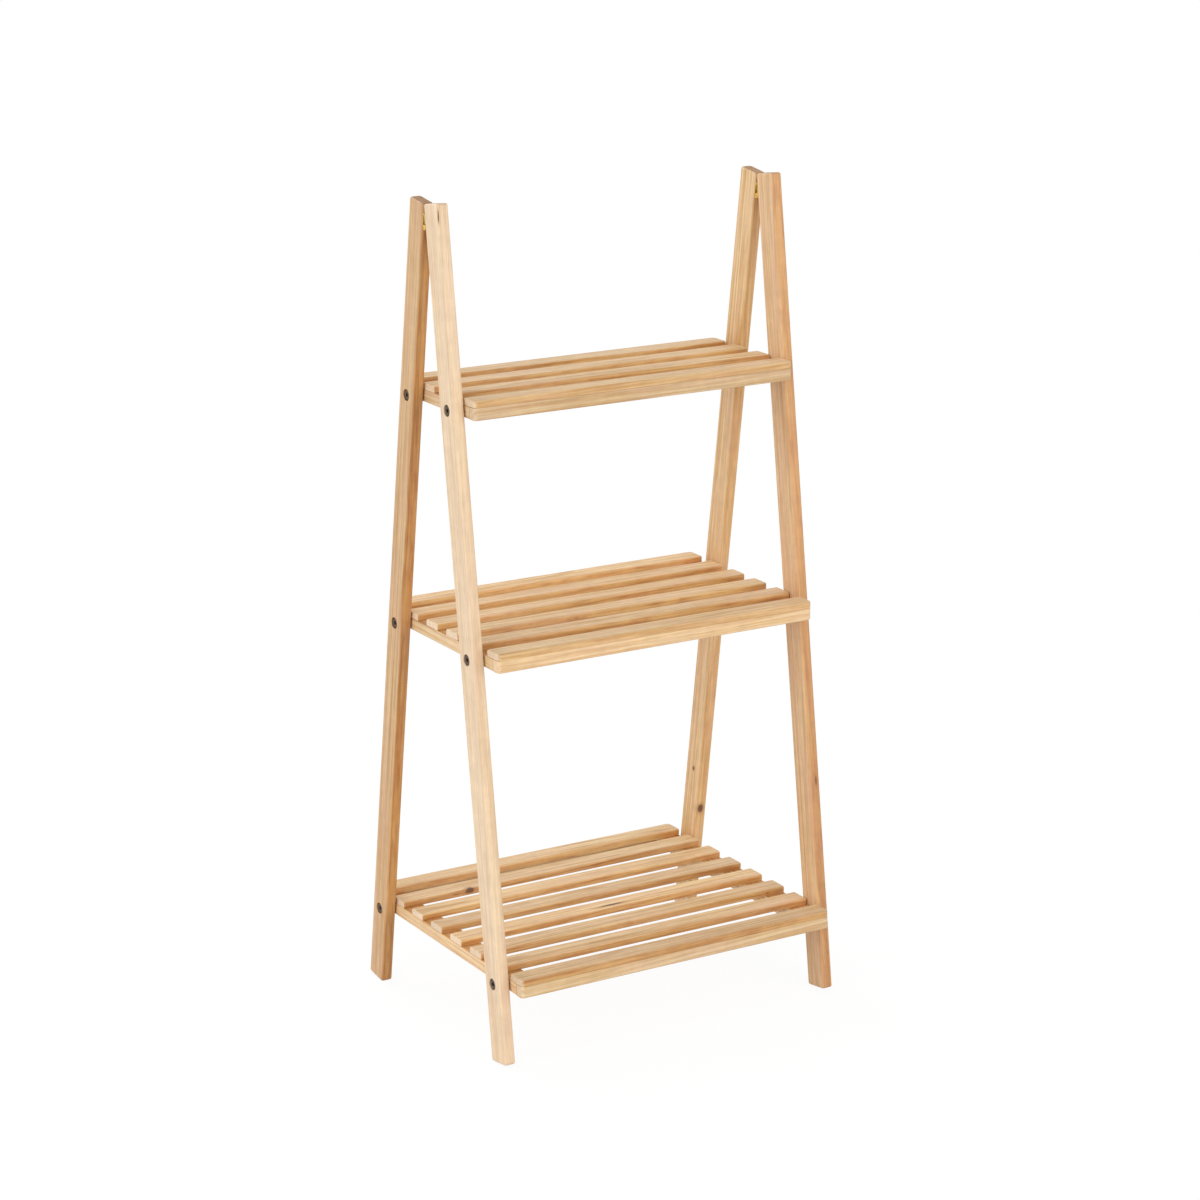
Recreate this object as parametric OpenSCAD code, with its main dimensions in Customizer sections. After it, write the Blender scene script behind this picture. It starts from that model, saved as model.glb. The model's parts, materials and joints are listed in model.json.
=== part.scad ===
// Folding three-tier ladder stand for potted plants, in pale softwood.
// Four square-cut legs make two A-frames that are hinged at the top, and three slatted
// shelves hang between them on bolts. The stand folds flat: each shelf swings up about its
// front bolts while the rear legs swing in, and a hook slot in each rail lets go of the rear
// bolt. Drawn standing open. +X is to the right, -Y is the front and +Z is up. The origin
// is on the floor, in the middle of the stand.

/* [Legs] */
// Width of a leg, seen from the side of the stand
leg_w = 30; // [26:0.5:34]
// Thickness of a leg, from its outer face to its inner face
leg_t = 13; // [11:0.5:18]
// Length of a leg, from its square top to its square foot
leg_len = 910; // [880:5:1000]
// Lean of each leg from upright, when the stand is open
leg_splay = 8; // [7:0.25:9.5]
// Radius along the four long edges of a leg
leg_round = 2.4; // [1:0.1:3]
// Gap between the two top edges that meet when the stand is open
top_gap = 0.3; // [0.1:0.05:0.5]

/* [Shelves] */
// Length of every shelf, from left to right
shelf_len = 393; // [300:1:600]
// Number of slats in the top shelf
top_slats = 4; // [3:1:4]
// Number of slats in the middle shelf
middle_slats = 6; // [5:1:6]
// Number of slats in the bottom shelf
bottom_slats = 8; // [7:1:8]
// Height of the top shelf's bolts above the floor
top_bolt_z = 693; // [680:1:720]
// Height of the middle shelf's bolts above the floor
middle_bolt_z = 434; // [420:1:450]
// Height of the bottom shelf's bolts above the floor
bottom_bolt_z = 88; // [70:1:110]
// Distance of the top shelf's front and rear edges beyond its bolts
top_overhang = 33.5; // [30:0.1:38]
// Distance of the middle shelf's front and rear edges beyond its bolts
middle_overhang = 42.3; // [38:0.1:45]
// Distance of the bottom shelf's front and rear edges beyond its bolts
bottom_overhang = 37.9; // [34:0.1:41]

/* [Slats, rails and aprons] */
// Width of a slat
slat_w = 25; // [22:0.5:28]
// Thickness of a slat
slat_t = 7.5; // [6:0.5:10]
// Width of a side rail, from its outer face to its inner face
rail_w = 25; // [22:0.5:28]
// Height of the side rails and of the aprons
rail_h = 13.5; // [13:0.5:20]
// Thickness of the front and rear aprons
apron_t = 12; // [10:0.5:16]
// Radius along the long edges of slats, rails and aprons
edge_round = 1.5; // [0.5:0.1:2]
// Diameter of the dowels that join the rails to the aprons
dowel_d = 5; // [4:0.5:6]
// Depth of a dowel in the end of a rail
dowel_in_rail = 9; // [6:0.5:10]
// Depth of a dowel in the back of an apron
dowel_in_apron = 7; // [5:0.5:8]

/* [Bolts] */
// Diameter of a bolt's shank
bolt_d = 6; // [5:0.5:6.5]
// Diameter of a bolt's head
bolt_head_d = 11; // [9.5:0.1:12]
// Height of a bolt's head
bolt_head_h = 3.3; // [2.5:0.1:4]
// Depth of a bolt's head below the outer face of the leg
head_sink = 0.8; // [0.3:0.1:2]
// Diameter of the counterbore around a bolt's head
counterbore_d = 12.6; // [12.4:0.1:14]
// Size of a bolt's hexagon socket across its flats
socket_af = 4; // [3:0.5:5]
// Depth of a bolt's hexagon socket
socket_depth = 2; // [1.5:0.1:2.4]
// Diameter of a washer
washer_d = 12; // [10:0.5:12.5]
// Thickness of a washer
washer_t = 1.2; // [0.8:0.1:2]
// Play between a rail and the washer on each side of it
rail_play = 0.3; // [0.2:0.05:0.5]
// Size of a nut across its flats
nut_af = 10; // [9:0.5:11]
// Height of a nut
nut_h = 5; // [4:0.5:6]
// Length of a bolt that shows beyond its nut
bolt_end = 1.5; // [0.5:0.5:3]
// Running clearance around a bolt's shank, on the radius
bolt_clear = 0.06; // [0.03:0.01:0.1]
// Clearance around a rear bolt in its hook slot, on the radius
slot_clear = 0.4; // [0.3:0.05:0.6]

/* [Hinges] */
// Distance of a hinge's pin below the edge where the leg tops meet
hinge_drop = 24.5; // [22:0.5:30]
// Length of a hinge along its pin
hinge_len = 12; // [9:0.5:12]
// Diameter of a hinge's knuckles
knuckle_d = 5.5; // [5:0.1:5.8]
// Diameter of a hinge's pin
hinge_pin_d = 2.6; // [2:0.1:3]
// Running clearance between a hinge's pin and the rear leaf's knuckle, on the radius
pin_clear = 0.05; // [0.03:0.01:0.08]
// Gap between two knuckles
knuckle_gap = 0.3; // [0.2:0.05:0.5]
// Thickness of a hinge leaf
leaf_t = 1.2; // [1:0.1:1.4]
// Height of a hinge leaf above its pin
leaf_h = 14; // [12.5:0.5:15]
// Diameter of a hinge screw's shank
hinge_screw_d = 2.2; // [1.8:0.1:2.5]
// Diameter of a hinge screw's countersunk head
hinge_screw_head_d = 4; // [3.6:0.1:4.2]
// Length of a hinge screw
hinge_screw_len = 11; // [8:0.5:16]
// Distance of a hinge screw from the middle of the leaf, along the pin
hinge_screw_x = 2.9; // [2.4:0.1:3.2]
// Height of the lower hinge screw above the pin
hinge_screw_low = 6; // [5.5:0.1:6.5]
// Height of the upper hinge screw above the lower one
hinge_screw_step = 4; // [3:0.1:4.5]

/* [Brads] */
// Diameter of a brad's shank
brad_d = 1.6; // [1.2:0.1:2]
// Diameter of a brad's head
brad_head_d = 3; // [2.5:0.1:3.5]
// Thickness of a brad's head
brad_head_t = 0.8; // [0.5:0.1:1]
// Depth of a brad in a slat
brad_in_slat = 4.5; // [3:0.5:5]
// Clearance around a brad, a dowel or a screw in its hole, on the radius
nail_clear = 0.03; // [0.02:0.01:0.05]
// Least distance of a brad from the axis of a bolt
brad_keepout = 10; // [9:0.5:12]
// Distance of an apron's outer brads from the inner faces of the rails
apron_brad_inset = 25; // [15:1:60]

/* [Hidden] */
SIDE_NAMES = ["left", "right"];
SIDES = [-1, 1];
FRONT = -1;
REAR = 1;
LEVEL_NAMES = ["top", "middle", "bottom"];
LEVELS = [0, 1, 2];
SLAT_COUNTS = [top_slats, middle_slats, bottom_slats];
BOLT_ZS = [top_bolt_z, middle_bolt_z, bottom_bolt_z];
OVERHANGS = [top_overhang, middle_overhang, bottom_overhang];

$fn = 48;
cut = 1;                                    // how far a cutter runs past a face
shelf_step = 0.1;                           // a shelf's depth is a multiple of this
side_gap = washer_t + rail_play;            // between a shelf and the legs
inner_half = shelf_len / 2 + side_gap;      // from the middle to a leg's inner face
outer_half = inner_half + leg_t;            // from the middle to a leg's outer face
apex_z = leg_len * cos(leg_splay);          // height of the edge where the leg tops meet
hinge_z = apex_z - hinge_drop;              // height of the hinge pins
leg_mid_x = inner_half + leg_t / 2;
rail_mid_x = (shelf_len - rail_w) / 2;
rail_in_x = shelf_len / 2 - rail_w;         // from the middle to a rail's inner face
nut_x = rail_in_x - rail_play - washer_t - nut_h;   // from the middle to a nut's end
leg_swing = 2 * leg_splay;                  // how far the rear legs swing in
shelf_swing = 90 - leg_splay;               // how far the shelves swing up
swing_ratio = shelf_swing / leg_swing;
hole_d = bolt_d + 2 * bolt_clear;
slot_w = bolt_d + 2 * slot_clear;
brad_hole_d = brad_d + 2 * nail_clear;
dowel_hole_d = dowel_d + 2 * nail_clear;
screw_hole_d = hinge_screw_d + 2 * nail_clear;
knuckle_len = (hinge_len - 2 * knuckle_gap) / 3;
leaf_foot = knuckle_d / 4;                  // how far a leaf reaches below its pin
screw_head_h = (hinge_screw_head_d - hinge_screw_d) / 2;   // a 90 degree countersink

// Distance of a bolt from the top of its leg, measured down the leg
function bolt_down(z) = (apex_z + leg_w / 2 * sin(leg_splay) - z) / cos(leg_splay);
// Distance of a bolt from the middle of the stand, front to back
function bolt_y(z) = top_gap / 2 + bolt_down(z) * sin(leg_splay) + leg_w / 2 * cos(leg_splay);
// Depth of a shelf from front to back, to the nearest step that a shelf is cut to
function depth(level) =
    shelf_step * round(2 * (bolt_y(BOLT_ZS[level]) + OVERHANGS[level]) / shelf_step);
// Distance from one slat to the next, middle to middle: the slats share out the depth
function slat_pitch(level) = (depth(level) - slat_w) / (SLAT_COUNTS[level] - 1);
// Middle of slat i, counted from the front
function slat_y(level, i) = (slat_w - depth(level)) / 2 + (i - 1) * slat_pitch(level);
// How far a rear bolt has moved from its seat, seen from the rising rail: [back, up]
function bolt_path(z, fold) =
    let (swing = fold * swing_ratio,
         back = bolt_y(z) * (1 + cos(fold)) + (z - hinge_z) * sin(fold),
         up = (z - hinge_z) * (cos(fold) - 1) - bolt_y(z) * sin(fold))
    [back * cos(swing) + up * sin(swing) - 2 * bolt_y(z),
     up * cos(swing) - back * sin(swing)];
// Swing of the rear legs at which the bolt has left the rail
function exit_fold(z) =
    (rail_h + bolt_d) / 2 / (bolt_y(z) * (1 + 2 * swing_ratio)) * 180 / PI;
// Forward lean of a hook slot, along the bolt's way out of the rail
function slot_lean(z) =
    let (way = bolt_path(z, exit_fold(z)))
    atan(way[0] / way[1]);
// Places along a rail where a brad holds a slat, clear of the bolts
function rail_brad_ys(level) =
    [for (i = [2:SLAT_COUNTS[level] - 1])
        let (y = slat_y(level, i))
        if (abs(abs(y) - bolt_y(BOLT_ZS[level])) > brad_keepout) y];
// Places along an apron where a brad holds the edge slat
apron_brad_xs = [for (s = [-1, 0, 1]) s * (rail_in_x - apron_brad_inset)];

// A rectangle about the origin with round corners
module rounded_rect(w, h, r) {
    square([w - 2 * r, h], center = true);
    square([w, h - 2 * r], center = true);
    for (x = [-1, 1], y = [-1, 1])
        translate([x * (w / 2 - r), y * (h / 2 - r)]) circle(r);
}

// A board that runs from left to right, about the origin
module board_x(len, deep, high, r) {
    rotate([90, 0, 90])
        linear_extrude(len, center = true)
            rounded_rect(deep, high, r);
}

// A board that runs from front to back, about the origin
module board_y(len, wide, high, r) {
    rotate([90, 0, 0])
        linear_extrude(len, center = true)
            rounded_rect(wide, high, r);
}

// A round bar along X from |x| = a to |x| = b on one side of the stand
module bar_x(side, a, b, d) {
    translate([side * (a + b) / 2, 0, 0])
        rotate([0, 90, 0])
            cylinder(h = abs(b - a), d = d, center = true);
}

// The frame of a leg: its origin is the top inner edge, and the leg hangs down from it
module in_leg(end) {
    translate([0, end * top_gap / 2, apex_z])
        rotate([end * leg_splay, 0, 0])
            children();
}

// The axis of a bolt, at the middle of the stand
module at_bolt(end, z) {
    translate([0, end * bolt_y(z), z]) children();
}

// Places of the two screws of a hinge leaf: in the leg's frame, on the leg's inner face
module at_leaf_screws(side, end) {
    pin_down = hinge_drop * cos(leg_splay);
    for (i = [0, 1])
        translate([side * leg_mid_x + (2 * i - 1) * hinge_screw_x, -end * leaf_t,
                   -pin_down + hinge_screw_low + i * hinge_screw_step])
            rotate([-end * 90, 0, 0])
                children();
}

module leg(side, end) {
    color(end == FRONT ? "#E9C79C" : "#DDB27E")
    difference() {
        in_leg(end)
            translate([side * leg_mid_x, end * leg_w / 2, -leg_len / 2])
                linear_extrude(leg_len, center = true)
                    rounded_rect(leg_t, leg_w, leg_round);
        for (z = BOLT_ZS)
            at_bolt(end, z) {
                bar_x(side, inner_half - cut, outer_half, hole_d);
                bar_x(side, outer_half - head_sink - bolt_head_h, outer_half + cut, counterbore_d);
            }
        in_leg(end)
            at_leaf_screws(side, end)
                cylinder(h = hinge_screw_len + nail_clear, d = screw_hole_d);
    }
}

// A cap bolt: its head lies in the leg's counterbore and its shank runs inwards
module bolt(side, end, z) {
    head_out = outer_half - head_sink;
    len = head_out - nut_x + bolt_end;
    chamfer = bolt_head_h / 5;
    at_bolt(end, z)
        translate([side * head_out, 0, 0])
            rotate([0, -side * 90, 0])
                difference() {
                    rotate_extrude()
                        polygon([[0, 0], [bolt_head_d / 2 - chamfer, 0],
                                 [bolt_head_d / 2, chamfer], [bolt_head_d / 2, bolt_head_h],
                                 [bolt_d / 2, bolt_head_h], [bolt_d / 2, len], [0, len]]);
                    translate([0, 0, -cut])
                        cylinder(h = socket_depth + cut, d = socket_af / cos(30), $fn = 6);
                }
}

module bolts(side, end) {
    color("#33261C")
    for (z = BOLT_ZS)
        bolt(side, end, z);
}

// The washers on both sides of a rail and the nut, for each bolt of one leg
module nuts(side, end) {
    color("#B9B7B2")
    for (z = BOLT_ZS)
        at_bolt(end, z)
            difference() {
                union() {
                    bar_x(side, inner_half - washer_t, inner_half, washer_d);
                    bar_x(side, nut_x + nut_h, nut_x + nut_h + washer_t, washer_d);
                    translate([side * (nut_x + nut_h / 2), 0, 0])
                        rotate([0, 90, 0])
                            cylinder(h = nut_h, d = nut_af / cos(30), center = true, $fn = 6);
                }
                bar_x(side, nut_x - cut, inner_half + cut, hole_d);
            }
}

// One knuckle of a hinge, from x = a to x = b along the pin
module knuckle(a, b) {
    translate([(a + b) / 2, 0, hinge_z])
        rotate([0, 90, 0])
            cylinder(h = b - a, d = knuckle_d, center = true);
}

// The two screw holes of a leaf, with their countersinks
module leaf_screw_cutters(side, end) {
    in_leg(end)
        at_leaf_screws(side, end)
            translate([0, 0, -cut]) {
                cylinder(h = leaf_t + 2 * cut, d = screw_hole_d);
                cylinder(h = screw_head_h + cut, d1 = hinge_screw_head_d + 2 * cut, d2 = hinge_screw_d);
            }
}

// A flat leaf on the leg's inner face, from just below the level of the pin upwards
module leaf_plate(end, a, b) {
    high = leaf_h + leaf_foot;
    in_leg(end)
        translate([(a + b) / 2, -end * leaf_t / 2,
                   high / 2 - leaf_foot - hinge_drop * cos(leg_splay)])
            cube([b - a, leaf_t, high], center = true);
}

// The front leaf has the two outer knuckles, and holds the pin
module front_leaf(side) {
    mid = side * leg_mid_x;
    ends = [[mid - hinge_len / 2, mid - hinge_len / 2 + knuckle_len],
            [mid + hinge_len / 2 - knuckle_len, mid + hinge_len / 2]];
    color("#C9A13B")
    difference() {
        union() {
            difference() {
                leaf_plate(FRONT, ends[0][0], ends[1][1]);
                knuckle_relief(ends[0][1] - knuckle_gap / 2, ends[1][0] + knuckle_gap / 2);
            }
            for (e = ends)
                knuckle(e[0], e[1]);
        }
        pin_bore(mid, hinge_pin_d + 2 * nail_clear);
        leaf_screw_cutters(side, FRONT);
    }
}

// The rear leaf has the middle knuckle, which turns on the pin
module rear_leaf(side) {
    mid = side * leg_mid_x;
    a = mid - knuckle_len / 2;
    b = mid + knuckle_len / 2;
    color("#C9A13B")
    difference() {
        union() {
            difference() {
                leaf_plate(REAR, mid - hinge_len / 2, mid + hinge_len / 2);
                knuckle_relief(mid - hinge_len / 2 - cut, a + knuckle_gap / 2);
                knuckle_relief(b - knuckle_gap / 2, mid + hinge_len / 2 + cut);
            }
            knuckle(a, b);
        }
        pin_bore(mid, hinge_pin_d + 2 * pin_clear);
        leaf_screw_cutters(side, REAR);
    }
}

// Room in one leaf for the knuckles of the other, from x = a to x = b. It runs a little way
// into the length of the leaf's own knuckle, which fills it again
module knuckle_relief(a, b) {
    translate([(a + b) / 2, 0, hinge_z])
        rotate([0, 90, 0])
            cylinder(h = b - a, d = knuckle_d + 2 * knuckle_gap, center = true);
}

module pin_bore(mid, d) {
    translate([mid, 0, hinge_z])
        rotate([0, 90, 0])
            cylinder(h = hinge_len + 2 * cut, d = d, center = true);
}

module hinge_pin(side) {
    color("#B8902F")
    translate([side * leg_mid_x, 0, hinge_z])
        rotate([0, 90, 0])
            cylinder(h = hinge_len, d = hinge_pin_d, center = true);
}

// Countersunk cross-head screws, flush with the face of the leaf
module leaf_screws(side, end) {
    cross_w = hinge_screw_d / 4;
    color("#D4AF4A")
    in_leg(end)
        at_leaf_screws(side, end)
            difference() {
                union() {
                    cylinder(h = screw_head_h, d1 = hinge_screw_head_d - 2 * nail_clear,
                             d2 = hinge_screw_d);
                    cylinder(h = hinge_screw_len, d = hinge_screw_d);
                }
                for (turn = [0, 90])
                    rotate([0, 0, turn])
                        cube([hinge_screw_d, cross_w, screw_head_h], center = true);
            }
}

// A side rail: a round hole for the front bolt, and a hook slot for the rear bolt
module rail(level, side) {
    z = BOLT_ZS[level];
    len = depth(level) - 2 * apron_t;
    color("#D8AE78")
    difference() {
        translate([side * rail_mid_x, 0, z])
            board_y(len, rail_w, rail_h, edge_round);
        at_bolt(FRONT, z)
            bar_x(side, rail_in_x - cut, shelf_len / 2 + cut, hole_d);
        at_bolt(REAR, z) {
            bar_x(side, rail_in_x - cut, shelf_len / 2 + cut, slot_w);
            rotate([-slot_lean(z), 0, 0])
                translate([side * rail_mid_x, 0, -rail_h])
                    cube([rail_w + 2 * cut, slot_w, 2 * rail_h], center = true);
        }
        dowel_shapes(level, dowel_hole_d, nail_clear);
        for (y = rail_brad_ys(level))
            brad_hole([side * rail_mid_x, y, z - rail_h / 2]);
    }
}

// An apron that closes the ends of both rails and carries an edge slat
module apron(level, end) {
    z = BOLT_ZS[level];
    color("#E2BC88")
    difference() {
        translate([0, end * (depth(level) - apron_t) / 2, z])
            board_x(shelf_len, apron_t, rail_h, edge_round);
        dowel_shapes(level, dowel_hole_d, nail_clear);
        for (x = apron_brad_xs)
            brad_hole([x, end * (depth(level) - apron_t) / 2, z - rail_h / 2]);
    }
}

// The four dowels of a shelf, or their holes
module dowel_shapes(level, d, extra) {
    len = dowel_in_rail + dowel_in_apron + 2 * extra;
    joint_y = depth(level) / 2 - apron_t;
    for (side = SIDES, end = [FRONT, REAR])
        translate([side * rail_mid_x, end * (joint_y + (dowel_in_apron - dowel_in_rail) / 2),
                   BOLT_ZS[level]])
            rotate([90, 0, 0])
                cylinder(h = len, d = d, center = true);
}

module dowels(level) {
    color("#CDA26C") dowel_shapes(level, dowel_d, 0);
}

// A brad that is driven upwards from under a rail or an apron, at its head's face
module brad(at) {
    translate(at) {
        cylinder(h = brad_head_t, d = brad_head_d);
        cylinder(h = rail_h + brad_in_slat, d = brad_d);
    }
}

module brad_hole(at) {
    translate(at) {
        translate([0, 0, -cut])
            cylinder(h = cut + brad_head_t, d = brad_head_d + 2 * nail_clear);
        cylinder(h = rail_h + brad_in_slat + nail_clear, d = brad_hole_d);
    }
}

// Where the brads of a shelf start: under its rails and under its aprons
function brad_places(level) =
    let (z = BOLT_ZS[level] - rail_h / 2)
    concat([for (s = SIDES, y = rail_brad_ys(level)) [s * rail_mid_x, y, z]],
           [for (e = [FRONT, REAR], x = apron_brad_xs)
               [x, e * (depth(level) - apron_t) / 2, z]]);

module brads(level) {
    color("#A9A7A3")
    for (at = brad_places(level))
        brad(at);
}

// Slat i of a shelf, counted from the front
module slat(level, i) {
    z = BOLT_ZS[level] + rail_h / 2 + slat_t / 2;
    y = slat_y(level, i);
    color(i % 2 == 0 ? "#E4C296" : "#DDB788")
    difference() {
        translate([0, y, z])
            board_x(shelf_len, slat_w, slat_t, edge_round);
        for (at = brad_places(level))
            if (abs(at[1] - y) < slat_w / 2)
                brad_hole(at);
    }
}

for (s = [0, 1]) {
    leg(SIDES[s], FRONT);
    leg(SIDES[s], REAR);
    front_leaf(SIDES[s]);
    rear_leaf(SIDES[s]);
    hinge_pin(SIDES[s]);
    leaf_screws(SIDES[s], FRONT);
    leaf_screws(SIDES[s], REAR);
    bolts(SIDES[s], FRONT);
    bolts(SIDES[s], REAR);
    nuts(SIDES[s], FRONT);
    nuts(SIDES[s], REAR);
}
for (l = LEVELS) {
    for (s = [0, 1])
        rail(l, SIDES[s]);
    apron(l, FRONT);
    apron(l, REAR);
    dowels(l);
    brads(l);
    for (i = [1:SLAT_COUNTS[l]])
        slat(l, i);
}
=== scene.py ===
"""A folding three-tier ladder stand for potted plants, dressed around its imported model.

Four leaning legs make two hinged A-frames, and three slatted shelves hang between them on
dark cap bolts. Every board is pale softwood, planed and lightly sanded, with its own cut of
the tree. Sizes in the classes are millimetres, and a finished mesh is scaled to metres.
"""

import json
import logging
import math
import random
from collections.abc import Iterator, Sequence
from dataclasses import dataclass, field
from enum import Enum
from functools import partial
from itertools import zip_longest
from typing import Any, NamedTuple

import bmesh
import bpy
from bpy.types import Material, Mesh, Node, NodeSocket, NodeTree, Object
from mathutils import Matrix, Vector


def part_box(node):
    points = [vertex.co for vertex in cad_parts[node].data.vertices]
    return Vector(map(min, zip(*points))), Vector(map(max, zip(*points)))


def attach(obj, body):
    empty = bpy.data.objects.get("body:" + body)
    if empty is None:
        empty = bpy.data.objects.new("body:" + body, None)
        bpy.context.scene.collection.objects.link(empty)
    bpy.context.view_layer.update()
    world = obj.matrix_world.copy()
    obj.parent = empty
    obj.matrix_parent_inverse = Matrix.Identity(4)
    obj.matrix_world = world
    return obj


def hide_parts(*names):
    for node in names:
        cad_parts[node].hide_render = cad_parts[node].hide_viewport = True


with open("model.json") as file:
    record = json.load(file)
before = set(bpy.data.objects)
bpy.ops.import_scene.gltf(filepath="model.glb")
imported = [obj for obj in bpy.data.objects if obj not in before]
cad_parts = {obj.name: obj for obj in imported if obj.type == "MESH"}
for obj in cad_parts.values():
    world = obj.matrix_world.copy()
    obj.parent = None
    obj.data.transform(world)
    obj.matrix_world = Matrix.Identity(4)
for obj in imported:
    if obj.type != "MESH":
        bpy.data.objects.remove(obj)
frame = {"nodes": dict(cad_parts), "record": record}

LOG = logging.getLogger("plant_stand")
MM = 0.001
SMOOTH_BELOW = math.radians(38)
UPWARDS = Matrix.Rotation(-math.pi / 2, 4, "Y")    # turns x to point up
OUTSIDE = 1.0                      # how far outside the wood or the brass a borer starts
FEW_POINTS = 24                    # in a ring of a small piece

Point = tuple[float, float]
Steps = tuple[Point, ...]          # how far rings lie behind a face, and inside its rim
Tool = tuple[Mesh, Matrix]         # a mesh and its place in the stand's frame


class Word(Enum):
    """A choice that the nodes' names spell in lower case."""

    @property
    def word(self) -> str:
        """The choice as the nodes spell it."""
        return self.name.lower()


class Side(Word):
    """The left or the right A-frame, with the sign of its place along X."""

    LEFT = -1
    RIGHT = 1


class End(Word):
    """The front or the rear of the stand, with the sign of its place along Y."""

    FRONT = -1
    REAR = 1


class Sawn(Enum):
    """How a board was sawn: where the tree's pith lay, across and through, in mm."""

    PLAIN = (6.0, 34.0)
    RIFT = (38.0, 30.0)
    QUARTER = (62.0, 7.0)


# ---------------------------------------------------------------- the shared sizes


@dataclass(frozen=True)
class Tier:
    """One shelf's level.

    Attributes:
        name: The tier's name in the node names.
        slats: Number of slats.
        bolt_z: Height of its bolts above the floor.
        depth: Depth from front to back.
        slot_lean: Forward lean of the rear hook slots, in degrees.
        slat_tones: How light each slat is against the mean, from the front.
        apron_tone: How light the aprons are.
        rail_tone: How light the rails are.
    """

    name: str
    slats: int
    bolt_z: float
    depth: float
    slot_lean: float
    slat_tones: tuple[float, ...]
    apron_tone: float
    rail_tone: float


TIERS = (
    Tier("top", 4, 693.0, 156.1, 23.640, (-0.03, 0.02, 0.01, 0.0), -0.12, -0.03),
    Tier("middle", 6, 434.0, 246.5, 27.985, (-0.03, -0.03, 0.01, 0.04, 0.06, 0.14), 0.08,
         0.02),
    Tier("bottom", 8, 88.0, 335.0, 29.741, (-0.16, 0.0, -0.04, 0.07, -0.07, 0.05, -0.02, 0.02),
         -0.06, 0.1),
)


@dataclass(frozen=True)
class Stance:
    """How the legs stand, which fixes every bolt and hinge.

    Attributes:
        leg_w: Width of a leg, front to back.
        leg_t: Its thickness.
        leg_len: Its length.
        splay_deg: Its lean from upright, in degrees.
        top_gap: Gap between the tops of a front and a rear leg.
        inner_half: Distance from the middle to a leg's inner face.
        hinge_drop: Height of the legs' top edge above the hinge pins.
    """

    leg_w: float = 30.0
    leg_t: float = 13.0
    leg_len: float = 910.0
    splay_deg: float = 8.0
    top_gap: float = 0.3
    inner_half: float = 198.0
    hinge_drop: float = 24.5

    @property
    def splay(self) -> float:
        """Lean of a leg from upright, in radians."""
        return math.radians(self.splay_deg)

    @property
    def apex_z(self) -> float:
        """Height of the edge where the leg tops meet."""
        return self.leg_len * math.cos(self.splay)

    @property
    def outer_half(self) -> float:
        """Distance from the middle to a leg's outer face."""
        return self.inner_half + self.leg_t

    @property
    def mid_x(self) -> float:
        """Distance from the middle to a leg's middle."""
        return self.inner_half + self.leg_t / 2

    def leg_frame(self, end: End) -> Matrix:
        """Give the frame of a leg, whose origin is the top inner edge.

        Args:
            end: Front or rear.

        Returns:
            The leg's frame: z runs up the leg and y towards the rear.
        """
        shift = Matrix.Translation((0, end.value * self.top_gap / 2, self.apex_z))
        return shift @ Matrix.Rotation(end.value * self.splay, 4, "X")

    def bolt_y(self, z: float) -> float:
        """Give the distance of a bolt from the middle, front to back.

        Args:
            z: The bolt's height above the floor.

        Returns:
            The distance along Y.
        """
        half = self.leg_w / 2
        down = (self.apex_z + half * math.sin(self.splay) - z) / math.cos(self.splay)
        return self.top_gap / 2 + down * math.sin(self.splay) + half * math.cos(self.splay)


STANCE = Stance()


@dataclass(frozen=True)
class Fit:
    """Sizes of the fasteners and of the holes that take them."""

    clear: float = 0.03              # around a fastener in its bore
    play: float = 0.3                # between a rail and the washer inside it
    tip_r: float = 0.02              # where a skin closes in a tip
    point_r: float = 0.05            # of a screw's or a brad's point
    shank_r: float = 3.0
    hole_r: float = 3.06
    slot_r: float = 3.4
    pitch: float = 1.0
    thread_depth: float = 0.45
    thread_flat: float = 0.1
    bolt_end: float = 1.5            # what stands out of the nut
    bolt_tip: Steps = ((0.4, 0.2), (0.0, 0.6))
    head_r: float = 5.5
    head_h: float = 3.3
    head_sink: float = 0.8
    head_face: Steps = ((0.0, 0.66), (0.12, 0.38), (0.36, 0.12), (0.66, 0.0))
    head_back: Steps = ((0.2, 0.0), (0.0, 0.2))
    socket_af: float = 4.0
    socket_depth: float = 2.0
    socket_flare: float = 0.4
    socket_flare_h: float = 0.25
    drill_r: float = 1.7
    drill_point: float = 0.6
    counterbore_r: float = 6.3
    rim_break: float = 0.25
    washer_r: float = 6.0
    washer_t: float = 1.2
    washer_bore_break: float = 0.1
    washer_rolled: Steps = ((0.0, 0.3), (0.12, 0.08), (0.35, 0.0))
    washer_cut: Steps = ((0.15, 0.0), (0.0, 0.15))
    nut_af: float = 10.0
    nut_h: float = 5.0
    nut_bore_break: float = 0.35
    nut_crown: Steps = ((0.0, 0.3), (0.12, 0.0), (0.3, -0.32), (0.55, -math.inf))
    nut_seat: Steps = ((0.4, -math.inf), (0.1, -0.1), (0.0, 0.2))
    brad_r: float = 0.8
    brad_head_r: float = 1.5
    brad_head_t: float = 0.8
    brad_face: Steps = ((0.0, 0.25), (0.12, 0.04), (0.3, 0.0))
    brad_dimple: float = 0.08
    brad_taper: float = 1.8
    brad_in_slat: float = 4.5
    dowel_r: float = 2.5
    dowel_in_rail: float = 9.0
    dowel_in_apron: float = 7.0


FIT = Fit()


# ---------------------------------------------------------------- the finishes


def to_linear(hex_colour: str) -> tuple[float, float, float, float]:
    """Turn an sRGB hex colour into Blender's linear colour.

    Args:
        hex_colour: Such as "#C89550".

    Returns:
        Linear red, green and blue, and an alpha of 1.
    """
    parts = [int(hex_colour[i:i + 2], 16) / 255 for i in (1, 3, 5)]
    linear = [p / 12.92 if p <= 0.04045 else ((p + 0.055) / 1.055) ** 2.4 for p in parts]
    return (*linear, 1.0)


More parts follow.
